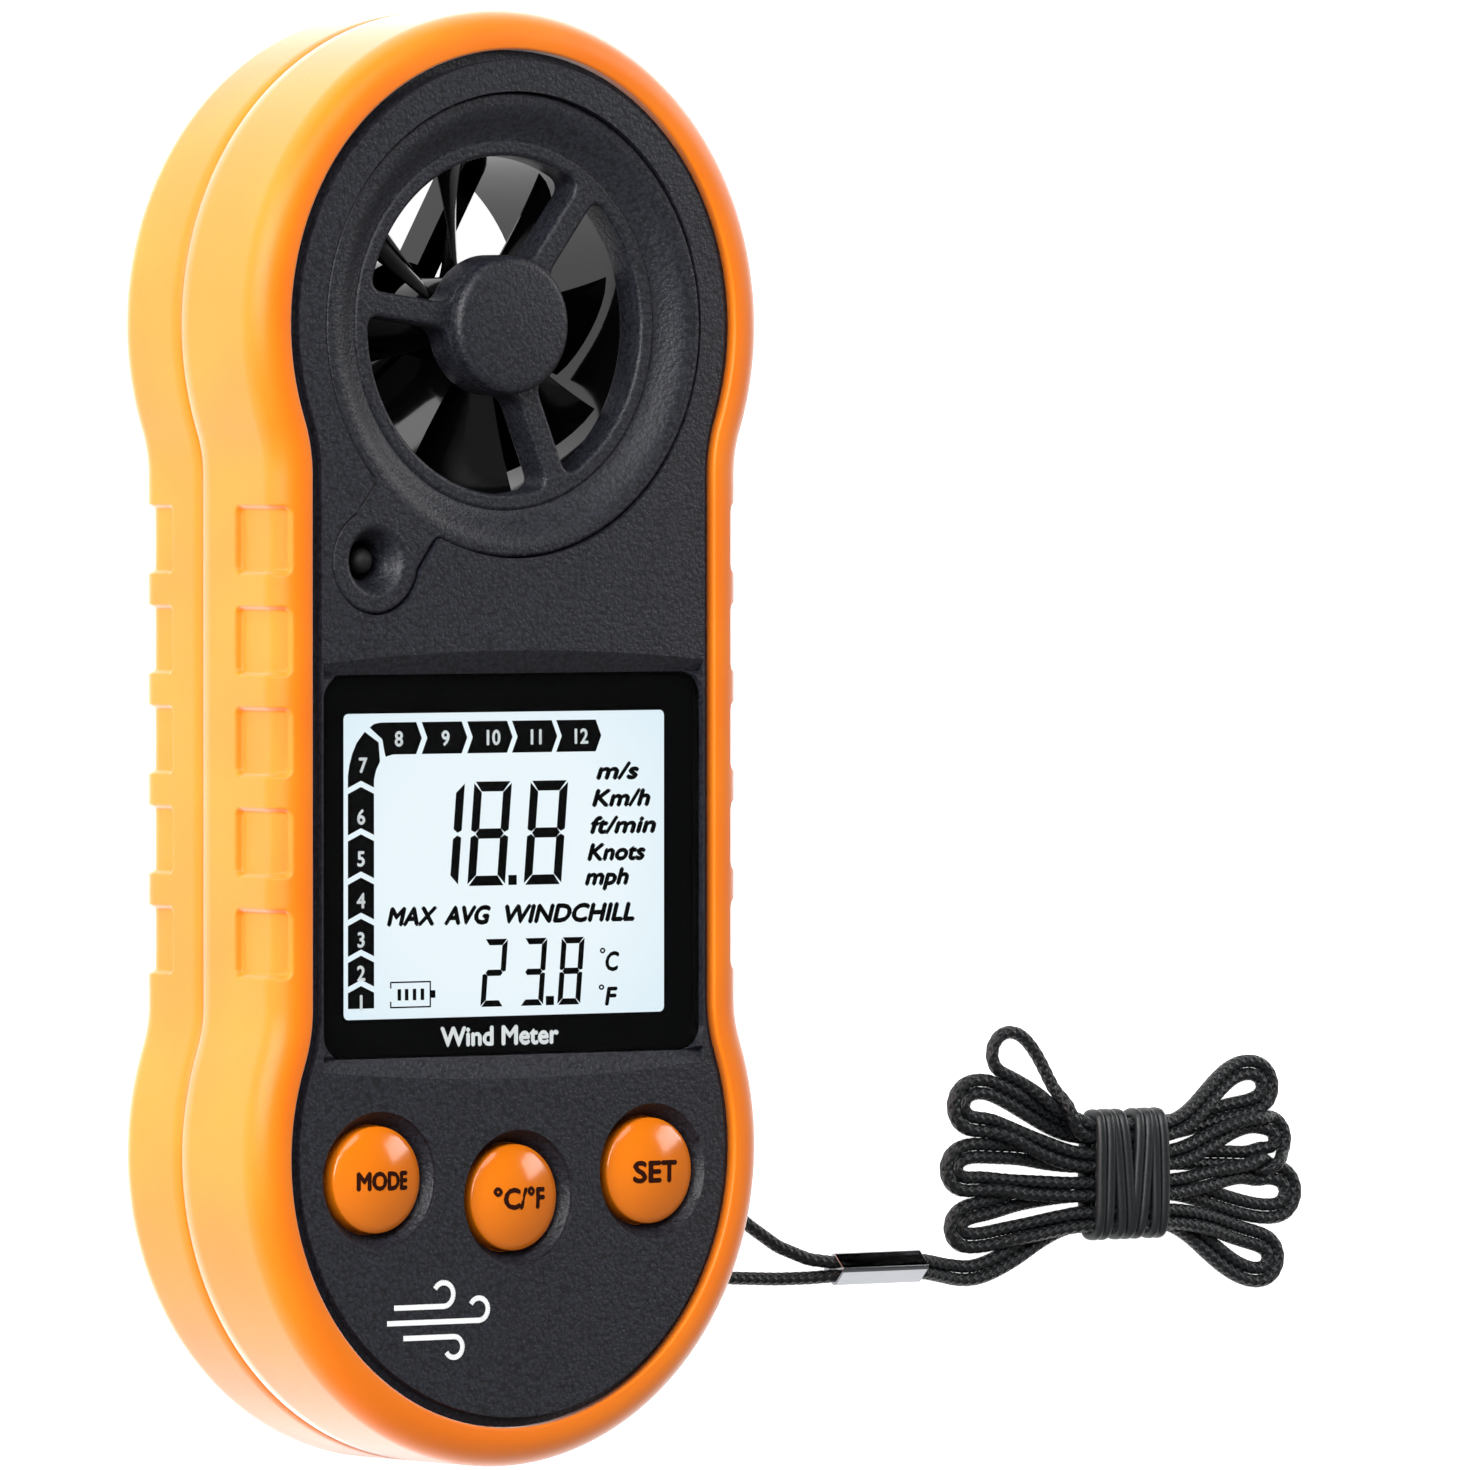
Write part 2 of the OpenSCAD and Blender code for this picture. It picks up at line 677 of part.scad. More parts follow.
// A domed cap with a flange below the face plate
module button(p) {
    dome_h = button_dome;
    dome_r = (pow(button_r, 2) + pow(dome_h, 2)) / (2 * dome_h);
    color(button_orange) translate([p[0], p[1], 0]) {
        translate([0, 0, button_flange_low]) cylinder(r = button_r + flange_grow, h = button_flange_t);
        translate([0, 0, button_flange_low])
            cylinder(r = button_r, h = button_side_top - button_flange_low);
        intersection() {
            translate([0, 0, button_side_top - 0.5]) cylinder(r = button_r, h = dome_h + 1);
            translate([0, 0, button_side_top + dome_h - dome_r]) sphere(dome_r, $fn = 360);
        }
    }
}

module mode_button() { button(button_spots[0]); }
module unit_button() { button(button_spots[1]); }
module set_button() { button(button_spots[2]); }

module plunger(p) {
    color("#2a2a2c") translate([p[0], p[1], plunger_low])
        cylinder(r = plunger_r, h = button_flange_low - plunger_low);
}

module mode_plunger() { plunger(button_spots[0]); }
module unit_plunger() { plunger(button_spots[1]); }
module set_plunger() { plunger(button_spots[2]); }

module battery_holder() {
    cup_h = cup_roof_low + cup_roof_t - back_top;
    color(black) difference() {
        union() {
            translate([cell_c[0], cell_c[1], back_top]) cylinder(r = cup_out_r, h = cup_h);
            translate([-3, cell_c[1], back_top]) cube([6, door_screw[1] - cell_c[1], cup_h]);
            translate([door_screw[0], door_screw[1], back_top]) cylinder(r = 3, h = cup_h);
        }
        translate([cell_c[0], cell_c[1], back_top - 1])
            cylinder(r = cup_in_r, h = cup_roof_low - back_top + 1);
        translate([door_screw[0], door_screw[1], back_top - 1]) cylinder(r = 1.6, h = 5);
        translate([cell_c[0] - cup_in_r - 0.6, cell_c[1] - 1.6, cup_roof_low - 1]) cube([1.3, 3.2, 5]);
        translate([cell_c[0] - 1, cell_c[1] - 5, cup_roof_low - 1]) cube([2, 1.2, 5]);
    }
}

module coin_cell() {
    color(steel) translate([cell_c[0], cell_c[1], cell_low]) {
        cylinder(r = cell_r, h = cell_t - 0.4);
        cylinder(r = cell_r - 1.2, h = cell_t);
    }
}

module positive_contact() {
    half = 1.5;
    x = cell_c[0] - sqrt(pow(cup_in_r, 2) - pow(half, 2)) + 0.03;
    color(steel) {
        translate([x, cell_c[1] - half, cell_low + 0.3])
            cube([contact_t, 2 * half, board_low - cell_low - 0.3]);
        translate([x, cell_c[1] - half, board_low - contact_t]) cube([2, 2 * half, contact_t]);
    }
}

module negative_contact() {
    leaf_z = cup_roof_low - contact_t - 0.05;
    color(steel) {
        translate([-1.5, cell_c[1] - 4.8, leaf_z]) cube([3, 8, contact_t]);
        translate([0, cell_c[1] + 1.6, cell_top]) cylinder(r = 1.1, h = leaf_z - cell_top + 0.1);
        translate([-0.8, cell_c[1] - 4.8, leaf_z]) cube([1.6, contact_t, board_low - leaf_z]);
        translate([-0.8, cell_c[1] - 4.8, board_low - contact_t]) cube([1.6, 2, contact_t]);
    }
}

module battery_door() {
    color(dark) difference() {
        union() {
            translate([0, 0, door_low]) linear_extrude(door_high - door_low) door_outline(0);
            translate([cell_c[0], cell_c[1], door_high]) difference() {
                cylinder(r = cup_in_r - 0.4, h = 0.5);
                translate([0, 0, -0.1]) cylinder(r = cup_in_r - 1.2, h = 1);
            }
        }
        translate([door_screw[0], door_screw[1], door_low - 1]) {
            cylinder(r = screw_sink_r, h = 1.9);
            cylinder(r = screw_r + 0.1, h = 5);
        }
        for (i = [-2 : 2]) translate([-3.5, cell_c[1] - 6 + i * 1.1, door_low - 1])
            cube([7, 0.5, 1.3]);
    }
}

module door_insert() {
    color(brass) translate([door_screw[0], door_screw[1], back_top + 0.1]) difference() {
        cylinder(r = 1.6, h = 3.8);
        translate([0, 0, -1]) cylinder(r = screw_r + 0.05, h = 6);
    }
}

// A cross-head screw pointing up, with its head's underside at seat
module cross_screw(seat, tip) {
    difference() {
        union() {
            translate([0, 0, seat - screw_head_t]) cylinder(r = screw_head_r, h = screw_head_t);
            translate([0, 0, seat]) cylinder(r = screw_r, h = tip - seat);
        }
        translate([0, 0, seat - screw_head_t - 1]) for (a = [0, 90]) rotate([0, 0, a])
            translate([-0.9, -0.2, 0]) cube([1.8, 0.4, 1.6]);
    }
}

module battery_door_screw() {
    seat = door_low + 0.9;
    color(steel) translate([door_screw[0], door_screw[1], 0]) difference() {
        union() {
            translate([0, 0, seat - 0.8]) cylinder(r = screw_head_r, h = 0.8);
            translate([0, 0, seat]) cylinder(r = screw_r, h = 4.4);
        }
        translate([0, 0, seat - 0.9]) for (a = [0, 90]) rotate([0, 0, a])
            translate([-0.9, -0.2, 0]) cube([1.8, 0.4, 0.6]);
    }
}

module housing_screws() {
    for (p = body_bosses) color(steel) translate([p[0], p[1], 0]) cross_screw(back_top, screw_tip_z);
}

// A round tube along a route, closed at both ends
function unit(v) = v / norm(v);

module tube(route) {
    n = len(route);
    tangents = [for (i = [0 : n - 1]) unit(route[min(i + 1, n - 1)] - route[max(i - 1, 0)])];
    rings = [for (i = [0 : n - 1])
        let (t = tangents[i], side = unit(cross([0, 0, 1], t)), up = cross(t, side))
        for (k = [0 : cord_sides - 1]) let (a = 360 * (k + 0.5) / cord_sides)
            route[i] + cord_r * (cos(a) * side + sin(a) * up)];
    walls = [for (i = [0 : n - 2], k = [0 : cord_sides - 1])
        let (a = i * cord_sides + k, b = i * cord_sides + (k + 1) % cord_sides)
        for (f = [[a, a + cord_sides, b], [b, a + cord_sides, b + cord_sides]]) f];
    caps = [
        [for (k = [0 : cord_sides - 1]) k],
        [for (k = [cord_sides - 1 : -1 : 0]) (n - 1) * cord_sides + k]
    ];
    polyhedron(rings, concat(walls, caps));
}

module lanyard_strand_a() {
    color(black) tube([for (i = [0 : loop_half]) loop_route[i]]);
}

module lanyard_strand_b() {
    color(black) tube([for (i = [loop_half : len(loop_route) - 1]) loop_route[i]]);
}

module lanyard_lead() {
    color(black) for (side = [-0.5, 0.5])
        tube([for (p = lead_route) p + [0, side * cord_d, 0]]);
}

// A square sleeve lying on its corner, with its corners flattened
module lanyard_ferrule() {
    far = ferrule_half;
    near = ferrule_flat;
    color(steel) translate([ferrule_at[0], ferrule_at[1], ferrule_half])
        rotate([90, 0, 90]) linear_extrude(ferrule_len) polygon([
            [far, near], [near, far], [-near, far], [-far, near],
            [-far, -near], [-near, -far], [near, -far], [far, -near]
        ]);
}

// The hank fans out on both sides of the tie and narrows to a neck inside it
module lanyard_hank() {
    neck = [tie_y[0] + tie_wall, tie_y[1] - tie_wall];
    color(black) {
        linear_extrude(hank_t) {
            polygon([
                [54.5, -42.1], [59.9, -41.8], [tie_x[0], neck[0]], [tie_x[0], neck[1]],
                [61.4, -23.1], [59.1, -22.1], [56.6, -23], [54.6, -25.9],
                [52.7, -28.4], [52.1, -33.1], [52.4, -37.4], [54.5, -39.9]
            ]);
            polygon([
                [tie_x[1], neck[0]], [79.4, -42.1], [83.1, -43.2], [85.8, -41.4], [87.5, -36.2],
                [86.8, -31.5], [85.5, -27.4], [84, -25.5], [81.5, -24.9], [tie_x[1], neck[1]]
            ]);
        }
        translate([tie_x[0] - 0.1, neck[0], tie_wall])
            cube([tie_x[1] - tie_x[0] + 0.2, neck[1] - neck[0], 2 * cord_d]);
    }
}

module lanyard_tie() {
    margin = 0.05;
    length = tie_x[1] - tie_x[0];
    width = tie_y[1] - tie_y[0];
    color("#2e3436") translate([tie_x[0] + margin, tie_y[0], 0]) difference() {
        cube([length - 2 * margin, width, 2 * (cord_d + tie_wall)]);
        translate([-1, tie_wall, tie_wall]) cube([length + 2, width - 2 * tie_wall, 2 * cord_d]);
    }
}

front_bumper();
rear_bumper();
face_plate();
back_plate();
fan_front_guard();
fan_rear_guard();
duct_seal();
impeller();
impeller_shaft();
front_jewel();
rear_jewel();
speed_sensor();
sensor_leads();
ntc_thermistor();
lcd_window();
window_adhesive();
lcd_panel();
lcd_backlight();
backlight_leds();
lcd_frame();
lcd_connector();
circuit_board();
board_screws();
controller_chip();
memory_chip();
crystal();
small_components();
buzzer();
tact_switches();
mode_button();
unit_button();
set_button();
mode_plunger();
unit_plunger();
set_plunger();
battery_holder();
coin_cell();
positive_contact();
negative_contact();
battery_door();
battery_door_screw();
door_insert();
housing_screws();
rating_label();
lanyard_strand_a();
lanyard_strand_b();
lanyard_lead();
lanyard_hank();
lanyard_ferrule();
lanyard_tie();
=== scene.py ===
"""A pocket vane anemometer lying on its back, with its lanyard: the visible pieces around the CAD frame."""

import math

import bmesh
import bpy
import numpy as np
from mathutils import Matrix, Vector
from mathutils.bvhtree import BVHTree
from mathutils.kdtree import KDTree


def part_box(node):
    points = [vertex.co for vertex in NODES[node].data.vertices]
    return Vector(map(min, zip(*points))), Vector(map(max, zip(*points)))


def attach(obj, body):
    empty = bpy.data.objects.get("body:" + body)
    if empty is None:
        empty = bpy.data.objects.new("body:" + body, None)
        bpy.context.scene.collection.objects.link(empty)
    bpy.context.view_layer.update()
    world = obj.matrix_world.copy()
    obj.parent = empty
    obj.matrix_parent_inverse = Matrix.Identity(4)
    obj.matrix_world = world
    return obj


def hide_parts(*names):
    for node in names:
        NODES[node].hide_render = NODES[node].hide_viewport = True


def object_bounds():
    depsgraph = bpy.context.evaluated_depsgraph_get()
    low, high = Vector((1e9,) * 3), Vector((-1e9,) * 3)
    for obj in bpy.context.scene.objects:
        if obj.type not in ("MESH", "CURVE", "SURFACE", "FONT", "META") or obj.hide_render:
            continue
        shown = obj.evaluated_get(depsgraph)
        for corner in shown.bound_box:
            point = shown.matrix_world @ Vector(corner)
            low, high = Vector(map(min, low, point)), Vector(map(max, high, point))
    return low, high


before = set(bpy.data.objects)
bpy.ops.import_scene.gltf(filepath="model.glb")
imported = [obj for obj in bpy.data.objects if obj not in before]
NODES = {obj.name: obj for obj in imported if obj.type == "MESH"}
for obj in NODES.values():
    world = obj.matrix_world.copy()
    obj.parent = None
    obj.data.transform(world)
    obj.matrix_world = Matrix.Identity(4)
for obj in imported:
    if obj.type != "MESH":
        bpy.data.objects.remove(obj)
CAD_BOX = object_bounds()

MM = 0.001

# The cord and its braid: bundles each way round, which meet once in every pitch along it
CORD_D = 1.0
CORD_R = CORD_D / 2
BRAID_PITCH = 0.75
BUNDLES = 5


def place(name, data):
    """Puts a mesh, curve, lamp or camera into the scene."""
    placed = bpy.data.objects.new(name, data)
    bpy.context.scene.collection.objects.link(placed)
    return placed


# ---- Camera ----

TURN = math.radians(36.5)
AIM = Vector((19.87, 0.07, 17.8)) * MM
STAND = Vector((0.0, 22.7, 17.8)) * MM
DISTANCE = 1.151
LENS = 391.8


def make_camera():
    data = bpy.data.cameras.new("camera")
    data.lens = LENS
    data.sensor_width = 36.0
    data.clip_start = 0.1
    data.clip_end = 20.0
    camera = place("camera", data)
    camera.location = STAND + DISTANCE * Vector((-math.sin(TURN), 0.0, math.cos(TURN)))
    ahead = (AIM - camera.location).normalized()
    right = ahead.cross(Vector((0.0, 1.0, 0.0))).normalized()
    axes = Matrix((right, right.cross(ahead), -ahead)).transposed()
    camera.rotation_euler = axes.to_euler()
    bpy.context.scene.camera = camera


make_camera()


# ---- Small tools ----


def linear(colour):
    """Linear RGBA of an sRGB hex colour."""
    channels = [int(colour[i : i + 2], 16) / 255 for i in (1, 3, 5)]
    return [c / 12.92 if c <= 0.04045 else ((c + 0.055) / 1.055) ** 2.4 for c in channels] + [1.0]


def new_material(name):
    material = bpy.data.materials.new(name)
    material.use_nodes = True
    material.node_tree.nodes.clear()
    return material


def add(owner, kind, inputs=(), out=0, **settings):
    """Adds a shader node to a material or world and gives one of its outputs.

    An input takes a number, a hex colour or another node's output.
    """
    node = owner.node_tree.nodes.new("ShaderNode" + kind)
    for name, value in settings.items():
        setattr(node, name, value)
    for name, value in dict(inputs).items():
        if isinstance(value, bpy.types.NodeSocket):
            owner.node_tree.links.new(value, node.inputs[name])
        elif isinstance(value, str):
            node.inputs[name].default_value = linear(value)
        else:
            node.inputs[name].default_value = value
    return node.outputs[out] if node.outputs else None


def per_mm(size):
    """The scale of a pattern whose features are size millimetres across."""
    return 1 / (size * MM)


# ---- Materials ----

# A noise pattern's values lie mostly between these
SPAN = {"From Min": 0.3, "From Max": 0.7}


def make_orange_rubber():
    # Soft-touch rubber moulded over the shell: a satin skin with a fine bloom, and a little light let inside
    m = new_material("moulded_soft_touch_rubber")
    where = add(m, "TexCoord", out="Object")
    bloom = add(m, "TexNoise", {"Vector": where, "Scale": per_mm(0.25), "Detail": 2.0})
    flow = add(m, "TexNoise", {"Vector": where, "Scale": per_mm(9), "Detail": 1.0})
    share = add(m, "MapRange", {"Value": flow, "From Min": 0.35, "From Max": 0.65})
    shader = add(m, "BsdfPrincipled", {
        "Base Color": add(m, "Mix", {0: share, 6: "#EE7604", 7: "#F07C08"}, 2, data_type="RGBA"),
        "Roughness": add(m, "MapRange", {**SPAN, "Value": bloom, "To Min": 0.36, "To Max": 0.46}),
        "IOR": 1.5, "Specular IOR Level": 0.3, "Sheen Weight": 1.0, "Sheen Roughness": 0.36,
        "Subsurface Weight": 0.1, "Subsurface Scale": 1.0,
        "Subsurface Radius": (1.2 * MM, 0.5 * MM, 0.2 * MM),
        "Normal": add(m, "Bump", {"Height": bloom, "Distance": 0.004 * MM}),
    })
    add(m, "OutputMaterial", {"Surface": shader})
    return m


def make_grained_abs():
    # ABS moulded against a spark-eroded die: a fine pebbled grain, its tops painted lighter as a painted
    # highlight where the light would catch them
    m = new_material("spark_eroded_black_abs")
    where = add(m, "TexCoord", out="Object")
    pebble = add(m, "TexVoronoi", {"Vector": where, "Scale": per_mm(0.3)}, feature="SMOOTH_F1")
    fine = add(m, "TexNoise", {"Vector": where, "Scale": per_mm(0.16), "Detail": 3.0})
    height = add(m, "Math", {0: fine, 1: pebble}, operation="SUBTRACT")
    painted_lit_tops = add(m, "MapRange", {"Value": height, "From Min": -0.2, "From Max": 0.4})
    shader = add(m, "BsdfPrincipled", {
        # The lighter colour on the grain's tops is painted highlight; the darker one in its hollows is the
        # plain black
        "Base Color": add(m, "Mix", {0: painted_lit_tops, 6: "#0E0F15", 7: "#262730"}, 2, data_type="RGBA"),
        "Roughness": add(m, "MapRange", {**SPAN, "Value": fine, "To Min": 0.42, "To Max": 0.54}),
        "IOR": 1.5, "Specular IOR Level": 0.45,
        "Normal": add(m, "Bump", {"Height": height, "Distance": 0.045 * MM}),
    })
    add(m, "OutputMaterial", {"Surface": shader})
    return m


def make_gloss(name, colour, other, rough, coat):
    # Plastic moulded against a polished die: a glossy skin with a faint waviness left by the flow
    m = new_material(name)
    where = add(m, "TexCoord", out="Object")
    flow = add(m, "TexNoise", {"Vector": where, "Scale": per_mm(4), "Detail": 2.0})
    shader = add(m, "BsdfPrincipled", {
        "Base Color": add(m, "Mix", {0: flow, 6: colour, 7: other}, 2, data_type="RGBA"),
        "Roughness": add(m, "MapRange", {**SPAN, "Value": flow, "To Min": rough, "To Max": rough + 0.06}),
        "IOR": 1.5, "Coat Weight": coat, "Coat Roughness": 0.05,
        "Normal": add(m, "Bump", {"Height": flow, "Distance": 0.01 * MM}),
    })
    add(m, "OutputMaterial", {"Surface": shader})
    return m


def make_metal(name, colour, rough, grit):
    # Drawn or turned metal: fine lines along the part break up its reflections a little
    m = new_material(name)
    where = add(m, "TexCoord", out="Object")
    stretched = add(m, "Mapping", {"Vector": where, "Scale": (0.1, 1.0, 1.0)})
    lines = add(m, "TexNoise", {"Vector": stretched, "Scale": per_mm(grit), "Detail": 3.0})
    shader = add(m, "BsdfPrincipled", {
        "Base Color": colour, "Metallic": 1.0,
        "Roughness": add(m, "MapRange", {**SPAN, "Value": lines, "To Min": rough, "To Max": rough + 0.08}),
        "Normal": add(m, "Bump", {"Height": lines, "Distance": 0.0015 * MM}),
    })
    add(m, "OutputMaterial", {"Surface": shader})
    return m


def make_clear_acrylic():
    # Polished acrylic window: clear, so that only its reflections and the faint haze of handling show
    m = new_material("polished_clear_acrylic")
    where = add(m, "TexCoord", out="Object")
    haze = add(m, "TexNoise", {"Vector": where, "Scale": per_mm(6), "Detail": 1.0})
    shader = add(m, "BsdfPrincipled", {
        "Base Color": "#F8FCFD", "IOR": 1.2, "Transmission Weight": 1.0,
        "Roughness": add(m, "MapRange", {"Value": haze, "To Min": 0.0, "To Max": 0.02}),
    })
    add(m, "OutputMaterial", {"Surface": shader})
    return m


def make_lit_glass():
    # Liquid crystal glass over its light sheet: an even cool white, a little bluer towards its edge
    m = new_material("backlit_display_glass")
    low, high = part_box("lcd_panel")
    middle, reach = (low + high) / 2, (high - low) / 2
    where = add(m, "TexCoord", out="Object")
    spread = (reach.x * 1.3, reach.y * 1.3, 1.0)
    centred = add(m, "Mapping", {"Vector": where, "Location": middle, "Scale": spread}, vector_type="TEXTURE")
    edge = add(m, "TexGradient", {"Vector": centred}, "Fac", gradient_type="SPHERICAL")
    share = add(m, "MapRange", {"Value": edge, "From Min": 0.0, "From Max": 0.5})
    shader = add(m, "BsdfPrincipled", {
        "Base Color": "#08090A", "Roughness": 0.6, "Emission Strength": 1.0,
        "Emission Color": add(m, "Mix", {0: share, 6: "#E4F2FA", 7: "#F1F9FD"}, 2, data_type="RGBA"),
    })
    add(m, "OutputMaterial", {"Surface": shader})
    return m


def make_braid():
    # Braided polyester: bundles of black filaments, painted lighter along their length as a painted glint,
    # with painted shade in the dark gaps between them
    m = new_material("braided_black_polyester")
    thread = add(m, "UVMap")
    # The wave pattern turns ten radians in each unit of its coordinates, which are millimetres here
    along, around = 2 * math.pi / BRAID_PITCH / 10, BUNDLES / CORD_R / 10
    waves = []
    for way in (1, -1):
        wound = add(m, "Mapping", {"Vector": thread, "Scale": (along, way * around, 1.0)})
        waves.append(add(m, "TexWave", {"Vector": wound, "Scale": 1.0}, "Fac", bands_direction="DIAGONAL"))
    ridges_with_painted_glint = add(m, "Math", {0: waves[0], 1: waves[1]}, operation="MAXIMUM")
    where = add(m, "TexCoord", out="Object")
    fuzz = add(m, "TexNoise", {"Vector": where, "Scale": per_mm(0.12), "Detail": 3.0})
    shader = add(m, "BsdfPrincipled", {
        # The bundles' ridges take the lighter colour, a painted glint, and the gaps between them the darker
        # one, painted shade; the same pattern also raises the ridges by bump
        "Base Color": add(m, "Mix", {0: ridges_with_painted_glint, 6: "#000001", 7: "#14171A"}, 2, data_type="RGBA"),
        "Roughness": add(m, "MapRange", {**SPAN, "Value": fuzz, "To Min": 0.36, "To Max": 0.5}),
        "IOR": 1.45, "Normal": add(m, "Bump", {"Height": ridges_with_painted_glint, "Distance": 0.06 * MM}),
    })
    add(m, "OutputMaterial", {"Surface": shader})
    return m


def make_plain(name, colour, other, rough, size, depth):
    # A plain finish whose colour, gloss and height vary together at one real size
    m = new_material(name)
    where = add(m, "TexCoord", out="Object")
    spots = add(m, "TexNoise", {"Vector": where, "Scale": per_mm(size), "Detail": 3.0})
    shader = add(m, "BsdfPrincipled", {
        "Base Color": add(m, "Mix", {0: spots, 6: colour, 7: other}, 2, data_type="RGBA"),
        "Roughness": add(m, "MapRange", {**SPAN, "Value": spots, "To Min": rough, "To Max": rough + 0.12}),
        "Normal": add(m, "Bump", {"Height": spots, "Distance": depth * MM}),
    })
    add(m, "OutputMaterial", {"Surface": shader})
    return m


def make_ink(name, colour, other):
    # Screen-printed ink: a dead flat, opaque film with barely any shine of its own
    m = new_material(name)
    where = add(m, "TexCoord", out="Object")
    mesh_marks = add(m, "TexNoise", {"Vector": where, "Scale": per_mm(0.2), "Detail": 2.0})
    shader = add(m, "BsdfPrincipled", {
        "Base Color": add(m, "Mix", {0: mesh_marks, 6: colour, 7: other}, 2, data_type="RGBA"),
        "Roughness": 0.8, "Specular IOR Level": 0.05,
        "Normal": add(m, "Bump", {"Height": mesh_marks, "Distance": 0.001 * MM}),
    })
    add(m, "OutputMaterial", {"Surface": shader})
    return m


ORANGE = make_orange_rubber()
GRAINED = make_grained_abs()
CLEAR = make_clear_acrylic()
LIT = make_lit_glass()
BRAID = make_braid()
# Wet-looking black of the fan and its duct
GLOSS = make_gloss("polished_black_abs", "#050506", "#0A0B0C", 0.08, 0.0)
# Deep orange keys with one clear highlight each
BUTTON = make_gloss("polished_orange_abs", "#E4740C", "#E87A12", 0.16, 0.1)
# Dark red bearing stones
RUBY = make_gloss("polished_synthetic_ruby", "#8E2038", "#9A2740", 0.04, 0.0)
# Grey-white plated screws, contacts and cans
STEEL = make_metal("nickel_plated_steel", "#C4C7CB", 0.2, 0.15)
# Mirror of the sleeve, black and white by turns
CHROME = make_metal("chrome_plated_steel", "#9C9EA2", 0.04, 0.3)
# Warm yellow of the threaded insert
BRASS = make_metal("turned_brass", "#C9A04A", 0.25, 0.1)
# Dull charcoal of the tie, with a soft sheen on its ribs
RUBBER = make_plain("extruded_tie_rubber", "#15191B", "#1F2426", 0.36, 0.2, 0.006)
# Dense black of the display's marks and the window's border
PRINT = make_ink("screen_printed_black_ink", "#020203", "#050506")
# Opaque white lettering
WHITE_INK = make_ink("screen_printed_white_ink", "#FAFBFB", "#F2F4F4")
# Dark brown lettering on the keys
BROWN_INK = make_ink("pad_printed_brown_ink", "#2A1008", "#32140A")
# Soft black tape, light-tight
TAPE = make_plain("black_acrylic_foam_tape", "#08080A", "#0E0E10", 0.8, 0.3, 0.01)
# Green board with the copper's relief under the resist
BOARD = make_plain("solder_resist_over_fibreglass", "#17492F", "#1D5A3A", 0.35, 0.5, 0.01)
# Dull black of the moulded chips and of the bead
EPOXY = make_plain("black_moulding_compound", "#101011", "#18181A", 0.55, 0.15, 0.01)
# Milky white that spreads the backlight
DIFFUSER = make_plain("milky_acrylic_light_sheet", "#F4F5F2", "#FFFFFF", 0.4, 1.0, 0.002)
# Pink rubber strip of the display's connector
SILICONE = make_plain("zebra_silicone", "#D889A2", "#C0708A", 0.5, 0.3, 0.01)
# Tan ceramic of the small parts
CERAMIC = make_plain("sintered_ceramic", "#B59A6A", "#A58A5C", 0.6, 0.2, 0.01)
# Brown-red enamel of the bead's wires
ENAMEL = make_plain("enamelled_copper_wire", "#7B2A22", "#8A3328", 0.35, 0.2, 0.004)
# Silver-grey film of the rating label
FILM = make_plain("matt_silver_label_film", "#C2C5C7", "#CDD0D2", 0.45, 0.3, 0.002)

FINISHES = {
    ORANGE: ["front_bumper", "rear_bumper"],
    GRAINED: ["face_plate", "back_plate", "battery_door", "fan_front_guard"],
    GLOSS: ["fan_rear_guard", "impeller"],
    BUTTON: ["mode_button", "unit_button", "set_button"],
    STEEL: [
        "impeller_shaft", "board_screws", "crystal", "tact_switches", "coin_cell", "positive_contact",
        "negative_contact", "battery_door_screw", "housing_screws",
    ],
    CHROME: ["lanyard_ferrule"],
    BRASS: ["door_insert"],
    RUBY: ["front_jewel", "rear_jewel"],
    CLEAR: ["lcd_window"],
    LIT: ["lcd_panel"],
    DIFFUSER: ["lcd_backlight", "lcd_frame"],
    CERAMIC: ["backlight_leds", "small_components"],
    SILICONE: ["lcd_connector"],
    BOARD: ["circuit_board"],
    EPOXY: ["speed_sensor", "ntc_thermistor", "controller_chip", "memory_chip", "buzzer", "battery_holder"],
    TAPE: ["duct_seal", "window_adhesive", "mode_plunger", "unit_plunger", "set_plunger"],
    ENAMEL: ["sensor_leads"],
    FILM: ["rating_label"],
    BRAID: ["lanyard_strand_a", "lanyard_strand_b", "lanyard_lead", "lanyard_hank"],
    RUBBER: ["lanyard_tie"],
}
for material, nodes in FINISHES.items():
    for node in nodes:
        NODES[node].data.materials.clear()
        NODES[node].data.materials.append(material)


# ---- Mesh tools ----


def new_piece(name, mesh, material, body="root", replaced=()):
    piece = place(name, mesh)
    mesh.materials.clear()
    mesh.materials.append(material)
    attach(piece, body)
    if replaced:
        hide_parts(*replaced)
    return piece


def mesh_of(name, points, faces, smooth=True):
    """A mesh from points in millimetres."""
    mesh = bpy.data.meshes.new(name)
    mesh.from_pydata([[c * MM for c in p] for p in points], [], faces)
    mesh.update()
    if smooth:
        mesh.shade_smooth()
    return mesh


def join(name, meshes):
    """One mesh of several."""
    whole = bmesh.new()
    for mesh in meshes:
        whole.from_mesh(mesh)
    joined = bpy.data.meshes.new(name)
    whole.to_mesh(joined)
    whole.free()
    return joined


def finished_mesh(thing):
    """The mesh that a curve, a text or a piece with modifiers ends up as."""
    bpy.context.view_layer.update()
    return bpy.data.meshes.new_from_object(thing.evaluated_get(bpy.context.evaluated_depsgraph_get()))


def between_rings(count, sides, looped=True, turned=False):
    """Faces between rings of points that follow each other; turned faces look the other way."""
    faces = []
    for i in range(count if looped else count - 1):
        here, there = i * sides, (i + 1) % count * sides
        for k in range(sides):
            j = (k + 1) % sides
            corners = (here + k, here + j, there + j, there + k)
            faces.append((corners[0], *corners[:0:-1]) if turned else corners)
    return faces


def anticlockwise(outline):
    area = sum(a[0] * b[1] - b[0] * a[1] for a, b in zip(outline, outline[1:] + outline[:1]))
    return outline if area > 0 else outline[::-1]


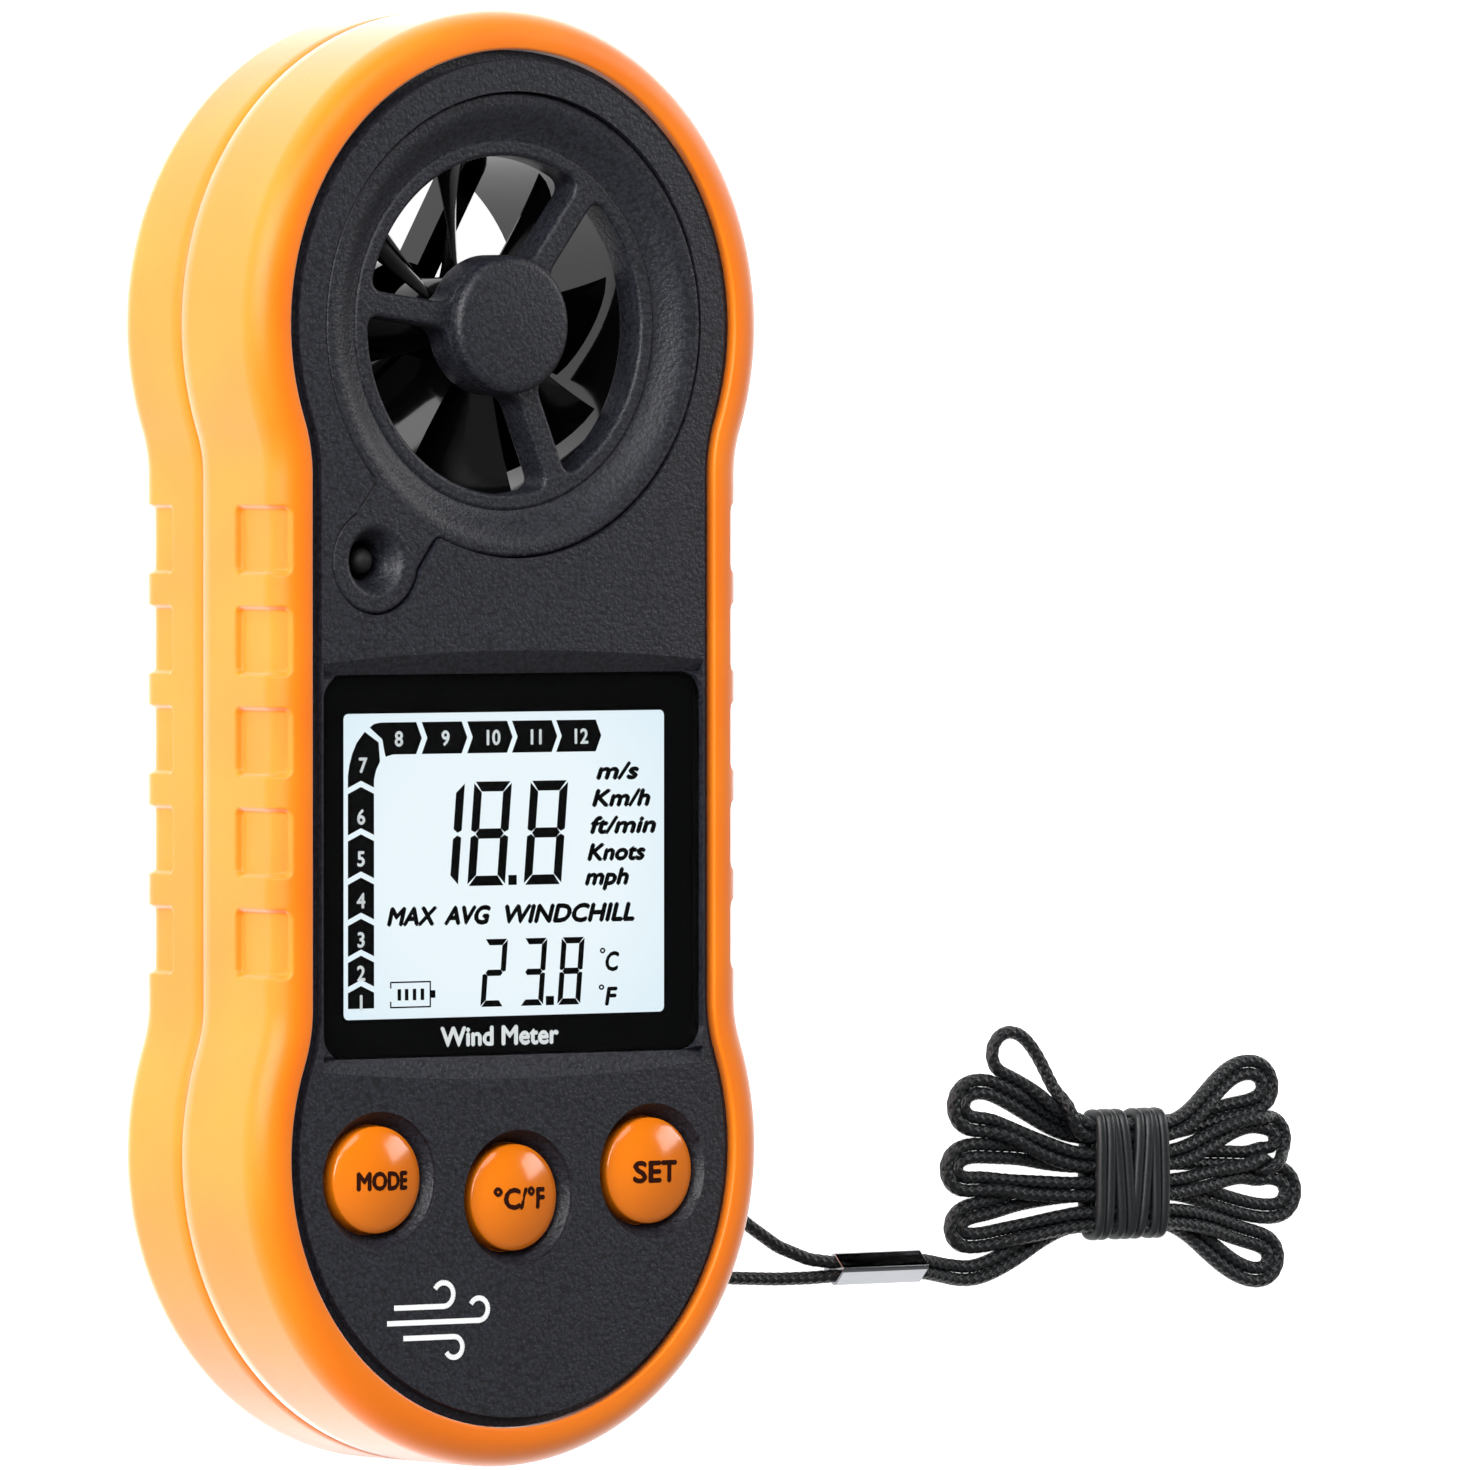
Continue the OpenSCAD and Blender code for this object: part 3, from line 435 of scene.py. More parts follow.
def lathe(name, profile, centre, sides=128):
    """A closed profile of radius and height turned round an upright axis."""
    points = [
        (centre[0] + r * math.cos(a), centre[1] + r * math.sin(a), z)
        for a in (2 * math.pi * k / sides for k in range(sides)) for r, z in profile
    ]
    return mesh_of(name, points, between_rings(sides, len(profile), turned=True))


def tube(name, line, radius, sides=12):
    """A plain closed tube round a looped line, in millimetres."""
    line = np.array(line)
    along = np.roll(line, -1, axis=0) - np.roll(line, 1, axis=0)
    along /= np.linalg.norm(along, axis=1)[:, None]
    side = np.cross(along, (1.0, 0.0, 0.0))
    side /= np.linalg.norm(side, axis=1)[:, None]
    over = np.cross(side, along)
    angles = 2 * np.pi * np.arange(sides) / sides
    rings = [line + radius * (math.cos(a) * side + math.sin(a) * over) for a in angles]
    return mesh_of(name, np.stack(rings, axis=1).reshape(-1, 3), between_rings(len(line), sides))


# ---- Rounded copies of the CAD pieces ----


def round_edges(piece, width, angle=28):
    """Cleans up a copied CAD mesh and rounds its edges by width millimetres."""
    cleaned = bmesh.new()
    cleaned.from_mesh(piece.data)
    bmesh.ops.remove_doubles(cleaned, verts=cleaned.verts, dist=0.002 * MM)
    bmesh.ops.dissolve_degenerate(cleaned, edges=cleaned.edges, dist=0.002 * MM)
    bmesh.ops.dissolve_limit(
        cleaned, angle_limit=math.radians(0.3), verts=cleaned.verts, edges=cleaned.edges, delimit={"NORMAL"}
    )
    cleaned.to_mesh(piece.data)
    cleaned.free()
    piece.data.shade_smooth()
    rounding = piece.modifiers.new("rounded_edges", "BEVEL")
    rounding.width = width * MM
    rounding.segments = 2
    rounding.limit_method = "ANGLE"
    rounding.angle_limit = math.radians(angle)
    rounding.harden_normals = True
    rounding.miter_outer = "MITER_ARC"
    even_light = piece.modifiers.new("even_shading", "WEIGHTED_NORMAL")
    even_light.keep_sharp = True


def soften(node, width, material, body="root"):
    """A copy of a CAD piece with rounded edges, which stands for it."""
    piece = new_piece(node + "_moulded", NODES[node].data.copy(), material, body, [node])
    round_edges(piece, width)
    return piece


# ---- Lanyard cord ----

# The free stretch between the eyelets and the ferrule, as in the part's source
LOOP = [
    [41.7, -39.7, 1.2], [39.5, -39.4, 1], [36.9, -38.4, 0.7], [34.2, -36.7, 0.55],
    [31.5, -34.6, 0.5], [29.2, -33, 0.7], [27, -31.9, 1.6], [25, -31.4, 3],
    [22.7, -31.4, 4], [20.8, -31.6, 4.2], [19.3, -32.5, 4.2], [18.6, -34, 4.2],
    [18.4, -35.4, 4.2], [18.5, -37, 4.2], [19, -38.4, 4.2], [20, -39.1, 4.2],
    [21.4, -39.2, 4.1], [23.2, -39.3, 3.7], [25, -39.5, 2.6], [27, -39.9, 1.3],
    [29.5, -40.3, 0.6], [32.8, -40.6, 0.5], [36.8, -40.8, 0.6], [39.5, -40.8, 0.85],
    [41.7, -40.7, 1.2],
]
LOOP_HALF = 12
LEAD_ROUTE = [[49.8, -40.2, 1.2], [51.1, -40.4, 0.95], [52.7, -40.7, 0.65], [54.5, -41, 0.5]]
TIE_X = (65.6, 72.7)
TIE_SLOTS = [-37.15 + 2.2 * i for i in range(4)]
# Heights of the outward and the returning runs through the tie
LAYER_LOW, LAYER_HIGH = 1.0, 2.0
AHEAD, BEHIND = Vector((1, 0, 0)), Vector((-1, 0, 0))
# Each fold outside the tie: centre x, y and outer radius
RIGHT_FOLDS = [(83.3, -40.7, 2.37), (84.8, -35.7, 2.53), (83.9, -31.7, 2.43), (82.5, -27.7, 2.58)]
LEFT_FOLDS = [(54.6, -37.5, 2.08), (54.4, -33.1, 2.24), (55.3, -28.4, 2.44)]
LAST_FOLD = (58.9, -24.6, 2.29)
# Distance between the points of the route
STEP = 0.35


def leg(start, start_way, end, end_way):
    """Points of one smooth leg, from start to just before end."""
    a, b = Vector(start), Vector(end)
    reach = (b - a).length
    p, q = start_way.normalized() * reach, end_way.normalized() * reach
    count = max(4, round(reach / STEP))
    found = []
    for i in range(count):
        t = i / count
        found.append(
            a * (2 * t**3 - 3 * t**2 + 1) + p * (t**3 - 2 * t**2 + t)
            + b * (3 * t**2 - 2 * t**3) + q * (t**3 - t**2)
        )
    return found


def fold(start, start_way, centre, radius, side, enter, leave):
    """A leg into a fold and the points round it, with the place and the direction in which it is left.

    side is 1 for a fold to the right of the tie, and -1 to its left.
    """
    def at(angle):
        return Vector((centre[0] + radius * math.cos(angle), centre[1] + radius * math.sin(angle), CORD_R))

    def heading(angle):
        return Vector((-side * math.sin(angle), side * math.cos(angle), 0))

    turn = abs(leave - enter)
    count = max(8, round(radius * turn / STEP))
    points = leg(start, start_way, at(enter), heading(enter))
    points += [at(enter + side * turn * i / count) for i in range(count)]
    return points, at(leave), heading(leave)


def hank_line():
    """The line that the pair of strands follows, from the ferrule and through every pass of the tie."""
    points = [Vector(p) for p in LEAD_ROUTE[:-1]]
    here, way = Vector(LEAD_ROUTE[-1]), Vector((1, -0.05, 0))
    spread, over = math.radians(78), 0.2
    for i, y in enumerate(TIE_SLOTS):
        low_left, low_right = (Vector((x, y, LAYER_LOW)) for x in TIE_X)
        high_left, high_right = (Vector((x, y, LAYER_HIGH)) for x in TIE_X)
        points += leg(here, way, low_left, AHEAD) + leg(low_left, AHEAD, low_right, AHEAD)
        *centre, outer = RIGHT_FOLDS[i]
        turned, here, way = fold(low_right, AHEAD, centre, outer - CORD_D, 1, -spread - over, spread)
        points += turned + leg(here, way, high_right, BEHIND) + leg(high_right, BEHIND, high_left, BEHIND)
        if i < len(LEFT_FOLDS):
            *centre, outer = LEFT_FOLDS[i]
            enter, leave = math.pi + spread + over, math.pi - spread
            turned, here, way = fold(high_left, BEHIND, centre, outer - CORD_D, -1, enter, leave)
            points += turned
    return points


def offset_line(points, by):
    """The same line moved sideways in plan."""
    moved = []
    for i, p in enumerate(points):
        along = points[min(i + 1, len(points) - 1)] - points[max(i - 1, 0)]
        side = Vector((-along.y, along.x, 0)).normalized()
        moved.append(p + side * by)
    return moved


def even(points, step):
    """The line at equal steps."""
    line = np.array([tuple(p) for p in points])
    lengths = np.concatenate([[0], np.cumsum(np.linalg.norm(np.diff(line, axis=0), axis=1))])
    at = np.linspace(0, lengths[-1], round(lengths[-1] / step) + 1)
    return np.stack([np.interp(at, lengths, line[:, k]) for k in range(3)], axis=1)


def smoothed(line, free, share):
    """The line with each free point drawn towards the middle of its neighbours."""
    middle = (line[:-2] + line[2:]) / 2
    line = line.copy()
    line[1:-1] += share * free[1:-1, None] * (middle - line[1:-1])
    return line


def settle(line, free, rounds=70):
    """Moves touching turns a diameter apart and keeps them low, as the cord's weight and stiffness do."""
    apart = round(2.2 * CORD_D / STEP)
    laid = line.copy()
    for _ in range(rounds):
        tree = KDTree(len(line))
        for i, p in enumerate(line):
            tree.insert(p, i)
        tree.balance()
        push = np.zeros_like(line)
        for i in np.flatnonzero(free):
            for other, j, distance in tree.find_range(line[i], CORD_D):
                if abs(i - j) > apart:
                    away = line[i] - line[j]
                    away[2] = away[2] * 2 + (0.1 if i > j else -0.1)
                    size = max(np.linalg.norm(away), 1e-6)
                    push[i] += away / size * (CORD_D - distance) * 0.4
        line = line + push * free[:, None]
        line[:, 2] -= 0.01 * free
        line = smoothed(line, free, 0.3)
        line += 0.06 * free[:, None] * (laid - line)
        line[:, 2] = np.clip(line[:, 2], CORD_R, 2 * CORD_D + CORD_R)
    return line


def lanyard_path():
    """The whole cord in millimetres: out of one eyelet, through the hank and back to the other."""
    out = [Vector(p) for p in reversed(LOOP[: LOOP_HALF + 1])]
    back = [Vector(p) for p in reversed(LOOP[LOOP_HALF:])]
    pair = hank_line()
    first, second = offset_line(pair, CORD_R - 0.04), offset_line(pair, 0.04 - CORD_R)
    *centre, outer = LAST_FOLD
    turn = math.radians(100)
    enter, leave = math.pi + turn - 0.4, math.pi - turn
    turned, here, way = fold(second[-1], BEHIND, centre, outer - CORD_R, -1, enter, leave)
    turned += leg(here, way, first[-1], AHEAD)
    return out, second + turned + first[::-1], back


def braided_tube(name, line, radius, sides=20, lift=0.06):
    """A tube round a line with a braid's crossing ridges. Its UV runs along and round it in millimetres."""
    along = np.gradient(line, axis=0)
    along /= np.linalg.norm(along, axis=1)[:, None]
    up = np.array([0.0, 0.0, 1.0])
    side = np.cross(up, along)
    side /= np.maximum(np.linalg.norm(side, axis=1), 1e-9)[:, None]
    over = np.cross(along, side)
    travel = np.concatenate([[0], np.cumsum(np.linalg.norm(np.diff(line, axis=0), axis=1))])
    angles = 2 * np.pi * np.arange(sides) / sides
    phase = 2 * np.pi * travel / BRAID_PITCH - np.pi / 2
    rings = []
    for a in angles:
        ridge = np.maximum(np.sin(phase + BUNDLES * a), np.sin(phase - BUNDLES * a))
        r = radius * (1 - lift + lift * ridge)
        rings.append(line + r[:, None] * (math.cos(a) * side + math.sin(a) * over))
    points = np.stack(rings, axis=1).reshape(-1, 3)
    n = len(line)
    faces = between_rings(n, sides, looped=False)
    faces.append(tuple(reversed(range(sides))))
    faces.append(tuple((n - 1) * sides + k for k in range(sides)))
    mesh = mesh_of(name, points, faces)
    uv = mesh.uv_layers.new(name="UVMap")
    for face in mesh.polygons[: (n - 1) * sides]:
        i, k = divmod(face.index, sides)
        for corner, (di, dk) in zip(face.loop_indices, ((0, 0), (0, 1), (1, 1), (1, 0))):
            uv.data[corner].uv = (travel[i + di], (k + dk) / sides * 2 * math.pi * radius)
    return mesh


def make_tie(pairs=4):
    """Doubled ribs of rubber wound round the middle of the hank, each turn a little askew."""
    low, high = (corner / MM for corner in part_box("lanyard_tie"))
    pitch = (high.x - low.x) / (2 * pairs)
    rib = pitch / 2
    ribs = []
    for k in range(2 * pairs):
        pair = k // 2
        skew = 0.28 * (-1) ** pair * min(pair + 0.4, pairs - 0.6 - pair)
        x = low.x + pitch * (k + 0.5)
        reach_y, reach_z = (high.y - low.y) / 2 - rib, (high.z - low.z) / 2 - rib
        loop = []
        for step in range(72):
            a = 2 * math.pi * step / 72
            c, s = math.cos(a), math.sin(a)
            y, z = math.copysign(abs(c) ** 0.55, c), math.copysign(abs(s) ** 0.55, s)
            drift = min(max(x + skew * y, low.x + rib), high.x - rib)
            loop.append((drift, (low.y + high.y) / 2 + reach_y * y, (low.z + high.z) / 2 + reach_z * z))
        ribs.append(tube("rib", loop, rib))
    return new_piece("hank_tie", join("hank_tie", ribs), RUBBER, "root", ["lanyard_tie"])


def make_lanyard():
    out, middle, back = lanyard_path()
    out, middle, back = even(out, STEP), even(middle, STEP), even(back, STEP)
    inner = middle[1:-1]
    free = np.ones(len(inner))
    held = (inner[:, 0] > TIE_X[0]) & (inner[:, 0] < TIE_X[1])
    free[held] = 0
    ends = round(3 / STEP)
    free[:ends] = 0
    free[-ends:] = 0
    inner = settle(inner, free)
    line = np.concatenate([out, middle[:1], inner, middle[-1:], back])
    line = smoothed(line, np.ones(len(line)), 0.5)
    fine = even(line, 0.12)
    nodes = ("lanyard_strand_a", "lanyard_strand_b", "lanyard_lead", "lanyard_hank")
    mesh = braided_tube("lanyard_cord", fine, CORD_R)
    cord = new_piece("lanyard_cord", mesh, BRAID, "root", nodes)
    ferrule = soften("lanyard_ferrule", 0.09, CHROME)
    make_tie()


make_lanyard()


# ---- Shell halves ----

LOBE_Y = 29.8
LOBE_R = CAD_BOX[1].y / MM - LOBE_Y
WAIST_HALF = 20.8
BLEND_R = 9.0
BODY_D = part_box("front_bumper")[1].z / MM
SEAM_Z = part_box("front_bumper")[0].z / MM
WALL, RIM, LEDGE, LEDGE_T, EDGE_R = 1.6, 2.9, 1.3, 1.0, 2.2
FACE_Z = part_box("fan_front_guard")[1].z / MM
PLATE_T = 1.7
FACE_LEDGE_Z = FACE_Z - PLATE_T
BACK_LEDGE_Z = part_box("back_plate")[0].z / MM + PLATE_T
SEAM_GROOVE = 0.2
LIP_R = 0.25
GRIP_PITCH, GRIP_LEN, GRIP_DEPTH, GRIP_WALL, GRIP_CORNER = 7.2, 4.7, 0.5, 0.4, 0.45
GRIP_COUNT = 5
# How far below the rim each half's recesses start, and the angle round the rim's edge at which they end
FRONT_GRIP, REAR_GRIP = (5.5, 57), (4.4, 80)
EYELETS, EYELET_Z, EYELET_R, EYELET_CUT = ((22.7, -31.4), (21.2, -39.2)), 4.2, 1.05, 9


def smoothstep(t):
    t = np.clip(t, 0, 1)
    return t * t * (3 - 2 * t)


def path_steps(low, high, stops, coarse, fine, near):
    """Positions from low to high: fine steps near the stops and coarse ones elsewhere."""
    found, at = [low], low
    while at < high - 1e-6:
        close = min((abs(at + 0.01 - s) for s in stops), default=99)
        at = min(high, at + (fine if close < near else min(coarse, max(fine, close - near + 0.01))))
        found.append(at)
    return found


def outline_path():
    """Points of the body's outline with their outward normals, anticlockwise from the waist's right end."""
    blend_x = WAIST_HALF + BLEND_R
    rise = math.sqrt((LOBE_R + BLEND_R) ** 2 - blend_x**2)
    blend_y, angle = LOBE_Y - rise, math.atan2(rise, blend_x)
    middles = [(i - (GRIP_COUNT - 1) / 2) * GRIP_PITCH for i in range(GRIP_COUNT)]
    edges = [y + side * GRIP_LEN / 2 for y in middles for side in (-1, 1)]
    waist = path_steps(-blend_y, blend_y, edges, 1.0, 0.08, 0.45)
    half = [(WAIST_HALF, y, 1.0, 0.0) for y in waist[:-1]]
    turns = np.linspace(0, angle, 13)
    for a in turns[:-1]:
        c, s = math.cos(a), math.sin(a)
        half.append((blend_x - BLEND_R * c, blend_y + BLEND_R * s, c, -s))
    for a in np.linspace(-angle, math.pi + angle, 85):
        c, s = math.cos(a), math.sin(a)
        half.append((LOBE_R * c, LOBE_Y + LOBE_R * s, c, s))
    for a in turns[-2:0:-1]:
        c, s = math.cos(a), math.sin(a)
        half.append((BLEND_R * c - blend_x, blend_y + BLEND_R * s, -c, -s))
    return np.array(half + [(-x, -y, -nx, -ny) for x, y, nx, ny in half])


def grip_depth(y, along, start, end):
    """How far the skin is sunk, at a place y along the waist and a place along the profile."""
    nearest = np.clip(np.round(y / GRIP_PITCH), -(GRIP_COUNT // 2), GRIP_COUNT // 2)
    dy = np.abs(y - nearest * GRIP_PITCH) - GRIP_LEN / 2 + GRIP_CORNER
    ds = np.abs(along - (start + end) / 2) - (end - start) / 2 + GRIP_CORNER
    outside = np.hypot(np.maximum(dy, 0), np.maximum(ds, 0)) + np.minimum(np.maximum(dy, ds), 0)
    return GRIP_DEPTH * smoothstep(0.5 - (outside - GRIP_CORNER) / GRIP_WALL)


def shell_profile(low, ledge, grip_start):
    """Points of one half's profile: inset, height, outward and upward normal, and place along the skin."""
    before, after = -9, 99
    side_top = BODY_D - EDGE_R
    rows = [(WALL, low, -1, 0, before), (SEAM_GROOVE, low, 0.7, -0.7, before)]
    for z in path_steps(low + SEAM_GROOVE, side_top, [grip_start], 1.0, 0.08, 0.35):
        rows.append((0.0, z, 1, 0, z))
    for a in np.linspace(0, math.pi / 2, 25)[1:]:
        x, z = EDGE_R * (1 - math.cos(a)), side_top + EDGE_R * math.sin(a)
        rows.append((x, z, math.cos(a), math.sin(a), side_top + EDGE_R * a))
    for a in np.linspace(0, math.pi / 2, 5):
        rows.append((RIM - LIP_R * (1 - math.sin(a)), BODY_D - LIP_R * (1 - math.cos(a)), 0, 1, after))
    inside = [(RIM, ledge), (RIM + LEDGE, ledge), (RIM + LEDGE, ledge - LEDGE_T), (WALL, ledge - LEDGE_T)]
    return rows + [(x, z, 0, 1, after) for x, z in inside]


def shell_half(name, low, ledge, grip, node, flip=False):
    """One half of the shell, from its seam at height low. The rear half is made rim up and turned over."""
    path = outline_path()
    grip_start, grip_end = BODY_D - grip[0], BODY_D - EDGE_R + EDGE_R * math.radians(grip[1])
    waist = np.abs(np.abs(path[:, 0]) - WAIST_HALF) < 1e-6
    rings = []
    for inset, z, out, up, along in shell_profile(low, ledge, grip_start):
        depth = grip_depth(path[:, 1], along, grip_start, grip_end) * waist
        plan = path[:, :2] - path[:, 2:] * (inset + depth * out)[:, None]
        height = z - depth * up
        rings.append(np.column_stack([plan, BODY_D - height if flip else height]))
    points = np.stack(rings, axis=1).reshape(-1, 3)
    mesh = mesh_of(name, points, between_rings(len(path), len(rings), turned=not flip))
    mesh.set_sharp_from_angle(angle=math.radians(50))
    return new_piece(name, mesh, ORANGE, "root", [node])


def cut(piece, cutter):
    """Takes the cutter's shape out of the piece for good."""
    taking = piece.modifiers.new("cut", "BOOLEAN")
    taking.object = cutter
    taking.solver = "EXACT"
    made = finished_mesh(piece)
    piece.modifiers.clear()
    piece.data = made
    bpy.data.objects.remove(cutter)


def rod(name, centre, radius, length, sides=48):
    """A round rod along X, for cutting."""
    points = [
        (centre[0] + e * length / 2, centre[1] + radius * math.cos(a), centre[2] + radius * math.sin(a))
        for e in (-1, 1) for a in (2 * math.pi * k / sides for k in range(sides))
    ]
    faces = [(k, sides + k, sides + (k + 1) % sides, (k + 1) % sides) for k in range(sides)]
    faces += [tuple(range(sides)), tuple(range(2 * sides - 1, sides - 1, -1))]
    return place(name, mesh_of(name, points, faces))


def make_shell():
    shell_half("front_shell", SEAM_Z, FACE_LEDGE_Z, FRONT_GRIP, "front_bumper")
    rear = shell_half("rear_shell", BODY_D - SEAM_Z, BODY_D - BACK_LEDGE_Z, REAR_GRIP, "rear_bumper", True)
    for number, (x, y) in enumerate(EYELETS):
        cut(rear, rod(f"eyelet_{number}", (x, y, EYELET_Z), EYELET_R, EYELET_CUT))


make_shell()


# ---- Moulded plates, fan and keys ----


def aperture(centre, inner, outer, half, start, end, rounding=1.1, step=0.12):
    """The rounded outline of one opening between two spokes, from the hub to the rim."""
    at_hub, at_rim = math.asin(half / inner), math.asin(half / outer)
    along = [(inner, start + at_hub)]
    along += [(outer, a) for a in np.linspace(start + at_rim, end - at_rim, 60)]
    along += [(inner, a) for a in np.linspace(end - at_hub, start + at_hub, 40)]
    line = even([(r * math.cos(a), r * math.sin(a), 0) for r, a in along], step)[:-1, :2]
    span = round(rounding / step)
    soft = sum(np.roll(line, k, axis=0) for k in range(-span, span + 1)) / (2 * span + 1)
    return [(centre[0] + x, centre[1] + y) for x, y in soft]


def pierced_disc(name, centre, radius, openings, low, high, edge):
    """A flat disc with openings, its edges rounded."""
    curve = bpy.data.curves.new(name, "CURVE")
    curve.dimensions = "2D"
    curve.fill_mode = "BOTH"
    around = np.linspace(0, 2 * math.pi, 129)[:-1]
    rim = [(centre[0] + radius * math.cos(a), centre[1] + radius * math.sin(a)) for a in around]
    for outline in [rim] + openings:
        spline = curve.splines.new("POLY")
        spline.points.add(len(outline) - 1)
        for point, (x, y) in zip(spline.points, outline):
            point.co = (x * MM, y * MM, 0, 1)
        spline.use_cyclic_u = True
    curve.extrude = ((high - low) / 2 - edge) * MM
    curve.bevel_depth = edge * MM
    curve.bevel_resolution = 2
    curve.offset = -edge * MM
    made = place(name, curve)
    mesh = finished_mesh(made)
    mesh.transform(Matrix.Translation((0, 0, (low + high) / 2 * MM)))
    mesh.shade_smooth()
    mesh.set_sharp_from_angle(angle=math.radians(40))
    bpy.data.objects.remove(made)
    return mesh


FAN = (0.0, LOBE_Y)
RING_R, DUCT_R, APERTURE_R, HUB_R = 16.7, 13.2, 12.2, 5.1
SPOKE_HALF, SPOKE_LOW, SPOKE_TOP = 0.9, 13.9, 16.9
LIP_Z = 16.5
FRONT_SPOKES = [52.5, 172.5, 292.5]


def make_front_guard():
    """The dished ring, its three spokes and the raised hub, with every corner filled."""
    openings = [
        aperture(FAN, HUB_R, APERTURE_R, SPOKE_HALF, math.radians(a), math.radians(a + 120))
        for a in FRONT_SPOKES
    ]
    grid = pierced_disc("grid", FAN, DUCT_R + 0.2, openings, SPOKE_LOW, SPOKE_TOP - 0.2, 0.3)
    dish = [(DUCT_R - 0.1, SPOKE_LOW), (DUCT_R - 0.25, LIP_Z)]
    across, rise = RING_R - 0.45 - DUCT_R, FACE_Z - 0.02 - LIP_Z
    dish += [(DUCT_R - 0.2 + across * t, LIP_Z + rise * smoothstep(t)) for t in np.linspace(0, 1, 13)]
    dish += [(RING_R - 0.2, FACE_Z), (RING_R - 0.06, FACE_Z - 0.06), (RING_R, FACE_Z - 0.2)]
    dish.append((RING_R, SPOKE_LOW))
    rim = lathe("rim", dish, FAN)
    hub = [(0.01, SPOKE_LOW), (HUB_R - 0.5, SPOKE_LOW), (HUB_R - 0.1, SPOKE_LOW + 0.2)]
    hub += [(HUB_R - 0.1, FACE_Z - 0.6), (HUB_R - 0.2, FACE_Z - 0.25), (HUB_R - 0.5, FACE_Z - 0.04)]
    hub += [(HUB_R - 0.8, FACE_Z), (0.01, FACE_Z)]
    middle = lathe("middle", hub, FAN, 72)
    middle.set_sharp_from_angle(angle=math.radians(50))
    return join("fan_grille", [grid, rim, middle])


def make_vane(turn, low, high, rows=14, columns=8):
    """One twisted vane, steeper near the hub than at the tip."""
    middle, reach = (low + high) / 2, (high - low) / 2
    tip, root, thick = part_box("impeller")[1].x / MM - 0.05, 3.2, 0.5
    points = []
    for side in (-1, 1):
        for i in range(rows + 1):
            r = root + (tip - root) * i / rows
            pitch = math.radians(64 - 24 * i / rows)
            chord = (reach - 0.3) / math.sin(pitch)
            for j in range(columns + 1):
                s = 2 * j / columns - 1
                lift = thick / 2 * math.sqrt(max(0.03, 1 - s**4)) * side + 0.35 * (1 - s * s)
                across = chord * s * math.cos(pitch) - lift * math.sin(pitch)
                z = middle + chord * s * math.sin(pitch) + lift * math.cos(pitch)
                a = turn + across / max(r, 4.0)
                height = min(max(z, low + 0.02), high - 0.02)
                points.append((FAN[0] + r * math.cos(a), FAN[1] + r * math.sin(a), height))
    w, faces = columns + 1, []
    base = (rows + 1) * w
    for i in range(rows):
        for j in range(columns):
            a, b, c, d = i * w + j, i * w + j + 1, (i + 1) * w + j + 1, (i + 1) * w + j
            faces += [(a, d, c, b), (base + a, base + b, base + c, base + d)]
    rim = [i * w for i in range(rows + 1)] + [rows * w + j for j in range(1, w)]
    rim += [i * w + columns for i in range(rows - 1, -1, -1)] + [j for j in range(columns - 1, 0, -1)]
    faces += [(p, q, base + q, base + p) for p, q in zip(rim, rim[1:] + rim[:1])]
    mesh = mesh_of("vane", points, faces)
    mesh.set_sharp_from_angle(angle=math.radians(50))
    return mesh


def make_impeller(count=8):
    """The wheel: a hub with its bore, and the vanes round it."""
    low, high = (corner.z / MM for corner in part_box("impeller"))
    bore, r = 0.7, 3.5
    hub = [(bore, low + 0.1), (r - 0.3, low + 0.1), (r, low + 0.4), (r, high - 0.5)]
    hub += [(r - 0.2, high - 0.15), (r - 0.6, high), (bore, high)]
    core = lathe("core", hub, FAN, 48)
    core.set_sharp_from_angle(angle=math.radians(40))
    vanes = [make_vane(2 * math.pi * k / count, low, high) for k in range(count)]
    return join("vane_wheel_moulded", vanes + [core])


def cad_faces(name, node, keep):
    """Those faces of a CAD piece whose corners pass a test of distance from the fan's axis and of height."""
    source = bmesh.new()
    source.from_mesh(NODES[node].data)
    gone = []
    for face in source.faces:
        away = [math.hypot(v.co.x / MM - FAN[0], v.co.y / MM - FAN[1]) for v in face.verts]
        if not keep(away, [v.co.z / MM for v in face.verts]):
            gone.append(face)
    bmesh.ops.delete(source, geom=gone, context="FACES")
    kept = bpy.data.meshes.new(name)
    source.to_mesh(kept)
    source.free()
    return kept


def make_fan():
    """The front guard's glossy duct, outer wall and grille, the rear guard and the vane wheel."""
    guard = "fan_front_guard"
    duct = cad_faces("duct", guard, lambda away, z: max(away) < DUCT_R + 1.4 and min(z) < SPOKE_LOW - 0.1)
    new_piece("duct_moulded", duct, GLOSS, "root", [guard])
    outside = cad_faces("outside", guard, lambda away, z: max(away) > RING_R - 0.4)
    round_edges(new_piece("fan_insert_moulded", outside, GRAINED, "root", [guard]), 0.3)
    new_piece("fan_grille_moulded", make_front_guard(), GRAINED, "root", [guard])
    soften("fan_rear_guard", 0.2, GLOSS, "root")
    new_piece("vane_wheel_moulded", make_impeller(), GLOSS, "vane_wheel", ["impeller"])


KEYS = ("mode", "unit", "set")

make_fan()
soften("face_plate", 0.3, GRAINED, "root")
soften("back_plate", 0.15, GRAINED, "root")
soften("battery_door", 0.15, GRAINED, "door")
for key in KEYS:
    soften(key + "_button", 0.12, BUTTON, key + "_key")
soften("housing_screws", 0.08, STEEL, "root")
soften("battery_door_screw", 0.08, STEEL, "door_screw")


# ---- Display graphics and markings ----


INK_T = 0.02


